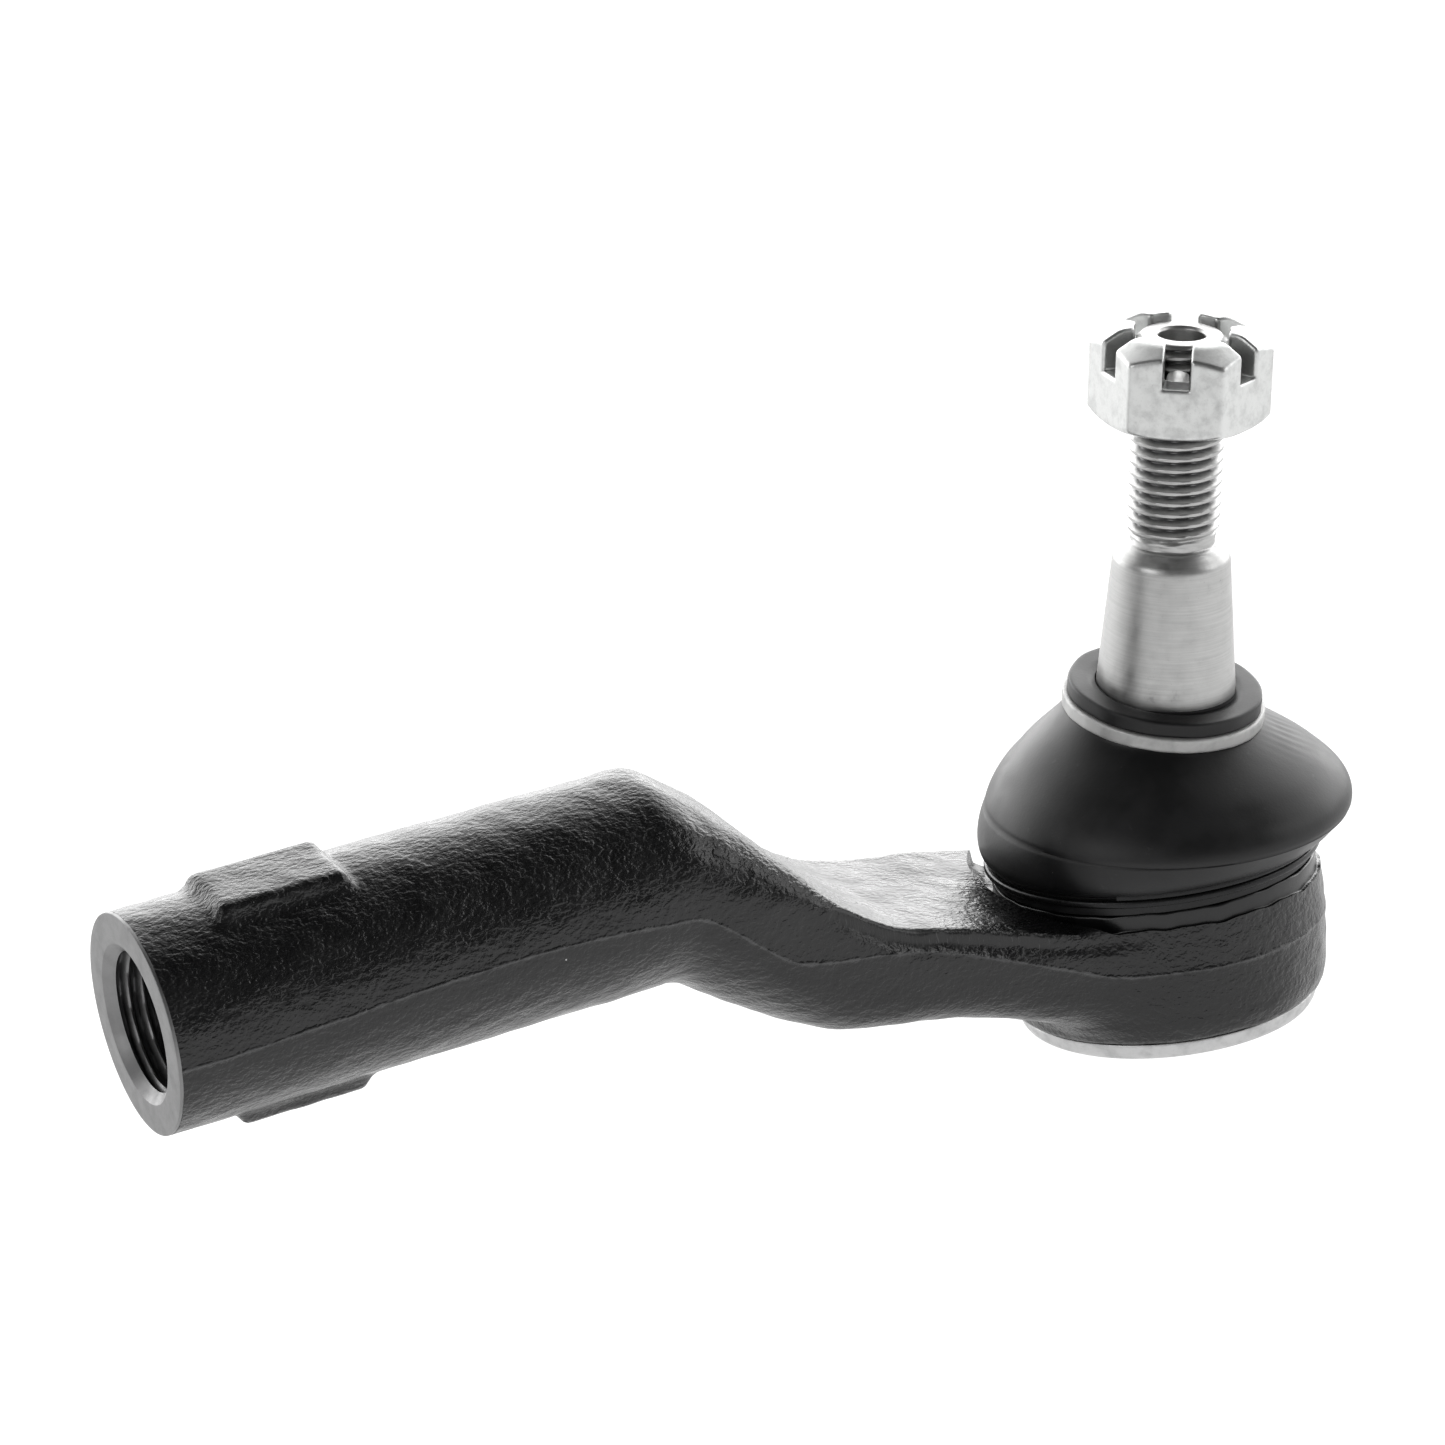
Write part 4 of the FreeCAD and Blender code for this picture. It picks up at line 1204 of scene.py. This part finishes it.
@dataclass
class Boot:
    """The dust boot with the ring round its collar and the wire clip round its lip."""

    stud: Stud
    collar_lean: float = 14.5
    lip_radius: float = 17.7
    lip_low: float = 17.6
    lip_bore: float = 16.75
    waist: float = 19.9
    bulge_radius: float = 20.15
    sway: float = 1.4
    sway_heading: float = -27.9
    bulge: float = 10.9
    collar_radius: float = 10.8
    collar_low: float = 21.6
    flange_low: float = 23.25
    flange_high: float = 24.9
    flange_radius: float = 10.6
    neck_radius: float = 10.2
    wall: float = 1.3
    stem_radius: float = 7.62
    columns: int = 224
    clip_radius: float = 18.18
    clip_wire: float = 0.84
    clip_low: float = 18.55
    clip_turns: float = 1.54
    clip_start: float = 60.0
    wind: Wind = Wind.RIGHT_HAND

    def ring(self, radius: Array, along: float, share: float, angle: Array) -> Array:
        """Place one ring of the boot on its bent centre line.

        Args:
            radius: distance from the centre line for each angle.
            along: distance of the ring along the stud.
            share: share of the collar's lean, from nought at the lip to one.
            angle: direction of each point in radians.

        Returns:
            One row of x, y, z for each angle, in millimetres.
        """
        lean = math.radians(self.collar_lean * share)
        tilt, settle = math.radians(self.stud.lean), min(1.0, share / 0.43)
        slip = (self.flange_high - self.collar_low) * max(0.0, (share - 0.43) / 0.57)
        if along > self.collar_low and share >= 1:
            slip = self.flange_high - along
        reach = along * math.sin(tilt) * settle + slip * (math.sin(tilt) - math.sin(lean))
        rise = along * (1 - (1 - math.cos(tilt)) * settle) + slip * (math.cos(tilt) - math.cos(lean))
        waist = self.waist - self.stud.ball_height
        climbed = min(1.0, max(0.0, (along - waist) / (self.collar_low - 0.04 - waist)))
        sway, sideways = self.sway * math.sin(math.pi * climbed ** 1.5), math.radians(self.sway_heading)
        shift = np.array((math.cos(sideways), math.sin(sideways), 0.0)) * sway
        return self.tipped(radius, angle, reach, rise, lean) + shift

    def tipped(self, radius: Array, angle: Array, reach: float, rise: float, lean: float) -> Array:
        """Tip a ring of points towards the stud's heading.

        Args:
            radius: distance from the centre line for each angle.
            angle: direction of each point in radians.
            reach: how far the ring's centre is from the eye's axis.
            rise: how far it is above the ball's centre.
            lean: angle of the ring's own axis in radians.

        Returns:
            One row of x, y, z for each angle, in millimetres.
        """
        heading = math.radians(self.stud.heading)
        out, side = radius * np.cos(angle - heading), radius * np.sin(angle - heading)
        flat = reach + out * math.cos(lean)
        return np.stack((flat * math.cos(heading) - side * math.sin(heading),
                         flat * math.sin(heading) + side * math.cos(heading),
                         self.stud.ball_height + rise - out * math.sin(lean)), axis=-1)

    def stem_ring(self, along: float, angle: Array) -> Array:
        """Place one ring of the boot's opening, which grips the stud."""
        tilt = math.radians(self.stud.lean)
        return self.tipped(self.stem_radius, angle, along * math.sin(tilt), along * math.cos(tilt), tilt)

    def skin(self, wall: float) -> list[tuple[Any, float, float]]:
        """List radius, distance along the stud and share of lean, from the lip to the collar.

        Args:
            wall: how far inside the outer surface.

        Returns:
            One entry for each ring.
        """
        low, waist = self.lip_low - self.stud.ball_height, self.waist - self.stud.ball_height
        lip = self.lip_radius if wall == 0 else self.lip_bore
        rings = [(lip, low + (waist - 0.3 - low) * k / 6, 0.0) for k in range(7)]
        away = 0.5 - 0.5 * np.cos(directions(self.columns) - math.radians(self.sway_heading))
        full = 3.6 - 1.7 * away
        for share in np.linspace(0.0, 1.0, 26)[1:]:
            swell = (1 - (1 - share) ** full) ** (1 / full)
            radius = self.lip_radius + (self.bulge_radius - self.lip_radius) * swell - wall
            rings.append((radius, waist + (self.bulge - waist) * share, 0.43 * share))
        top = self.collar_low - 0.04
        power = 3.3 - 0.8 * away
        for turn in np.linspace(0, 90, 46)[1:]:
            bend = math.radians(turn)
            shoulder = self.bulge_radius - self.collar_radius
            radius = self.collar_radius + shoulder * max(math.cos(bend), 0) ** power
            along = self.bulge + (top - self.bulge) * math.sin(bend)
            rings.append((radius - wall, along - 0.4 * wall * math.sin(bend), 0.43 + 0.57 * turn / 90))
        return rings

    def dust_boot(self) -> bpy.types.Object:
        """Make the boot as one closed rubber shell, shaped along the stud's lean and bent towards the collar.

        Returns:
            The object.
        """
        angle, rows = directions(self.columns), []
        crease = np.exp(-((angle - math.radians(333)) / 0.42) ** 2)
        for radius, along, share in self.skin(0.0):
            seam = -0.16 * math.exp(-((along - self.bulge - 0.05) / 0.13) ** 2)
            slope = -0.10 * math.exp(-((along - 15.6) / 0.9) ** 2)
            near_collar = math.exp(-((along - 19.4) / 1.5) ** 2)
            creased = 0.08 * crease * np.sin(angle * 52 + along * 2.6) * near_collar
            sway = 0.12 * math.exp(-((along - self.bulge) / 4) ** 2) * np.sin(2 * angle + 0.6)
            rows.append(self.ring(radius + seam + slope + creased + sway, along, share, angle))
        low, high = self.flange_low, self.flange_high
        collar = filleted(((self.neck_radius, self.collar_low + 0.05), (self.neck_radius, low, 0.1),
                           (self.flange_radius, low, 0.15), (self.flange_radius, high, 0.35),
                           (8.4, high, 0.3), (self.stem_radius + 0.1, high - 0.25)), 0.3)
        for radius, along in collar:
            uneven = 0.04 * np.sin(7 * angle + 1) + 0.03 * np.sin(13 * angle)
            edge = uneven * (radius > 9.5) * (along > self.flange_low)
            rows.append(self.ring(radius + edge, along, 1.0, angle))
        rows += [self.stem_ring(along, angle) for along in np.linspace(24.5, 20.4, 8)]
        rows += [self.ring(radius * np.ones(self.columns), along, share, angle)
                 for radius, along, share in self.skin(self.wall)[::-1][4:]]
        points = np.array(rows).reshape(-1, 3)
        piece = mesh_piece("dust_boot_moulded", points, ring_faces(len(rows), self.columns, True))
        face_outwards(piece)
        smoothed(piece, 48)
        piece.data.materials.append(BOOT_RUBBER.material())
        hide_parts("dust_boot")
        start = self.ring(np.zeros(1), self.bulge - 0.6, 0.0, np.zeros(1))[0] * MM
        end = self.ring(np.zeros(1), self.collar_low - 0.3, 1.0, np.zeros(1))[0] * MM
        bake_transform(piece)
        log.info("%s: %d vertices, %s, bends from boot to collar", piece.name, len(points), BOOT_RUBBER.name)
        return piece

    def upper_ring(self) -> bpy.types.Object:
        """Make the flat ring that clamps the boot's collar.

        Returns:
            The object.
        """
        axis = np.array(self.stud.direction(self.collar_lean))
        pivot = np.array((0, 0, self.stud.ball_height)) + self.flange_high * np.array(self.stud.direction())
        low, high = self.collar_low - self.flange_high, self.flange_low - self.flange_high - 0.03
        line = filleted(((10.3, low), (11.1, low, 0.3), (11.1, high, 0.3), (10.3, high),
                         (10.3, low)), 0.2)[:-1]
        columns = 192
        angle = directions(columns)[None, :]
        uneven = (0.025 * np.sin(9 * angle) + 0.02 * np.sin(23 * angle + 2)) * (line[:, :1] > 10.8)
        piece = turned_piece("boot_upper_ring_rolled", Spindle(tuple(pivot), tuple(axis)),
                             line[:, :1] + uneven - 0.03, np.repeat(line[:, 1:], columns, 1), True)
        smoothed(piece)
        return finished(piece, RING_STEEL, "collar", "ring_steel", "boot_upper_ring")

    def clip_tree(self) -> bpy.types.NodeTree:
        """Build the nodes that wind a square-edged wire round the boot's lip.

        Returns:
            The node tree, with its sizes as named inputs.
        """
        tree = bpy.data.node_groups.new("wound_clip", "GeometryNodeTree")
        tree.interface.new_socket("Geometry", in_out="OUTPUT", socket_type="NodeSocketGeometry")
        for name in ("Radius", "Wire", "Rise", "Turns", "Start height", "Start angle"):
            tree.interface.new_socket(name, in_out="INPUT", socket_type="NodeSocketFloat")
        source = add_node(tree, "NodeGroupInput").outputs
        rise = add_node(tree, "ShaderNodeMath", {0: source["Rise"], 1: source["Turns"]}, operation="MULTIPLY")
        coil = add_node(tree, "GeometryNodeCurveSpiral", {
            "Resolution": 160, "Rotations": source["Turns"], "Start Radius": source["Radius"],
            "End Radius": source["Radius"], "Height": rise.outputs[0],
            "Reverse": self.wind is Wind.LEFT_HAND})
        shift = add_node(tree, "ShaderNodeCombineXYZ", {2: source["Start height"]})
        turn = add_node(tree, "ShaderNodeCombineXYZ", {2: source["Start angle"]})
        moved = add_node(tree, "GeometryNodeTransform", {
            "Geometry": coil.outputs[0], "Translation": shift.outputs[0], "Rotation": turn.outputs[0]})
        square = add_node(tree, "GeometryNodeCurvePrimitiveQuadrilateral", {
            "Width": source["Wire"], "Height": source["Wire"]})
        corner = add_node(tree, "ShaderNodeMath", {0: source["Wire"], 1: 0.36}, operation="MULTIPLY")
        wire = add_node(tree, "GeometryNodeFilletCurve", {
            "Curve": square.outputs[0], "Count": 4, "Radius": corner.outputs[0]}, mode="POLY")
        swept = add_node(tree, "GeometryNodeCurveToMesh", {
            "Curve": moved.outputs[0], "Profile Curve": wire.outputs[0], "Fill Caps": True})
        real = add_node(tree, "GeometryNodeRealizeInstances", {0: swept.outputs[0]})
        dressed = add_node(tree, "GeometryNodeSetMaterial", {
            "Geometry": real.outputs[0], "Material": BLACK_WIRE.material()})
        add_node(tree, "NodeGroupOutput", {0: dressed.outputs[0]})
        return tree

    def lower_clip(self) -> bpy.types.Object:
        """Make the wire clip round the boot's lip.

        Returns:
            The object.
        """
        piece = mesh_piece("boot_lower_clip_wound", np.zeros((1, 3)), [])
        winding = piece.modifiers.new("winding", "NODES")
        winding.node_group = self.clip_tree()
        sizes = {"Radius": self.clip_radius * MM, "Wire": self.clip_wire * MM,
                 "Rise": (self.clip_wire + 0.01) * MM,
                 "Turns": self.clip_turns, "Start height": self.clip_low * MM,
                 "Start angle": math.radians(self.clip_start)}
        for item in winding.node_group.interface.items_tree:
            if item.in_out == "INPUT":
                winding[item.identifier] = float(sizes[item.name])
        applied(piece)
        smoothed(piece, 40)
        return finished(piece, BLACK_WIRE, "boot", "black_wire", "boot_lower_clip")

    def build(self) -> None:
        """Make the boot, the ring and the clip."""
        self.dust_boot()
        self.upper_ring()
        self.lower_clip()


# ---------------------------------------------------------------- the studio

@dataclass
class Studio:
    """A pale floor, soft light from behind and below, and the camera."""

    camera_at: tuple[float, float, float] = (-244.84, -405.16, 180.19)
    view: tuple[float, float, float] = (0.4154, 0.8638, -0.2850)
    up: tuple[float, float, float] = (0.2460, 0.1949, 0.9495)
    lens: float = 112.1

    def camera(self) -> None:
        """Place the camera and make it the scene's own."""
        data = bpy.data.cameras.new("camera")
        data.sensor_width, data.lens = 36.0, self.lens
        data.clip_start, data.clip_end = 0.01, 50.0
        back, up = -Vector(self.view).normalized(), Vector(self.up).normalized()
        right = up.cross(back).normalized()
        camera = bpy.data.objects.new("camera", data)
        camera.matrix_world = Matrix.Translation(Vector(self.camera_at) * MM) @ Matrix(
            (right, back.cross(right), back)).transposed().to_4x4()
        bpy.context.scene.collection.objects.link(camera)
        bpy.context.scene.camera = camera

    def floor(self) -> None:
        """Lay a large pale floor, lit so brightly that it shows no shadow."""
        around = np.linspace(0, 2 * math.pi, 64, endpoint=False)
        points = np.column_stack((6000 * np.cos(around), 6000 * np.sin(around), np.full(64, -0.02)))
        floor = mesh_piece("floor", points, [list(range(64))])
        paint = bpy.data.materials.new("matt_white_sweep")
        paint.use_nodes = True
        tree, shader = paint.node_tree, paint.node_tree.nodes["Principled BSDF"]
        for name, value in (("Base Color", linear("#8c8c8c")), ("Roughness", 0.9),
                            ("Specular IOR Level", 0.0), ("Emission Color", (1, 1, 1, 1))):
            shader.inputs[name].default_value = value
        place = add_node(tree, "ShaderNodeTexCoord").outputs["Object"]
        ahead = Vector((self.view[0], self.view[1], 0)).normalized()
        reach = add_node(tree, "ShaderNodeVectorMath", {0: place, 1: ahead}, operation="DOT_PRODUCT")
        glow = add_node(tree, "ShaderNodeMapRange", {
            0: reach.outputs["Value"], 1: -0.42, 2: -0.12, 3: 0.4, 4: 1.0}, **SMOOTH)
        tree.links.new(glow.outputs[0], shader.inputs["Emission Strength"])
        floor.data.materials.append(paint)

    def sky(self) -> None:
        """Surround the object with a dark room in front and a bright backdrop behind."""
        world = bpy.data.worlds.new("studio")
        bpy.context.scene.world = world
        world.use_nodes = True
        tree = world.node_tree
        tree.nodes.clear()
        way = add_node(tree, "ShaderNodeTexCoord").outputs["Generated"]
        ahead = Vector((self.view[0], self.view[1], 0)).normalized()
        behind = add_node(tree, "ShaderNodeVectorMath", {0: way, 1: ahead}, operation="DOT_PRODUCT")
        lit = add_node(tree, "ShaderNodeMapRange", {
            0: behind.outputs["Value"], 1: -0.1, 2: 0.75, 3: 0.16, 4: 4.2}, **SMOOTH)
        split = add_node(tree, "ShaderNodeSeparateXYZ", {0: way})
        high = add_node(tree, "ShaderNodeMapRange", {
            0: split.outputs[2], 1: 0.45, 2: 0.95, 3: 1.0, 4: 0.35}, **SMOOTH)
        both = add_node(tree, "ShaderNodeMath", {0: lit.outputs[0], 1: high.outputs[0]}, operation="MULTIPLY")
        light = add_node(tree, "ShaderNodeBackground", {0: (1, 1, 1, 1), 1: both.outputs[0]})
        add_node(tree, "ShaderNodeOutputWorld", {0: light.outputs[0]})

    def softbox(self, name: str, spot: Sequence[float], size: Sequence[float], power: float) -> None:
        """Hang one soft area light that looks at the object.

        Args:
            name: the light's name.
            spot: its place in metres.
            size: its width and height in metres.
            power: its power in watts.
        """
        data = bpy.data.lights.new(name, "AREA")
        data.shape, data.size, data.size_y, data.energy = "RECTANGLE", size[0], size[1], power
        light = bpy.data.objects.new(name, data)
        light.location = spot
        light.rotation_euler = (Vector((-0.04, 0.0, 0.03)) - Vector(spot)).to_track_quat("-Z", "Y").to_euler()
        light.visible_camera = False
        bpy.context.scene.collection.objects.link(light)

    def build(self) -> None:
        """Set up the whole studio."""
        self.camera()
        self.floor()
        self.sky()
        self.softbox("left_softbox", (-1.5, -0.5, 0.7), (0.9, 0.9), 6.0)
        self.softbox("right_softbox", (1.3, -0.9, 0.6), (0.7, 0.9), 5.0)
        view = bpy.context.scene.view_settings
        view.view_transform, view.look = "Standard", "None"


def main() -> None:
    """Build every piece and the studio."""
    logging.basicConfig(level=logging.INFO, format="%(message)s")
    Studio().build()
    Housing().build()
    stud = Stud()
    stud.build()
    Boot(stud).build()


if __name__ == "__main__":
    main()
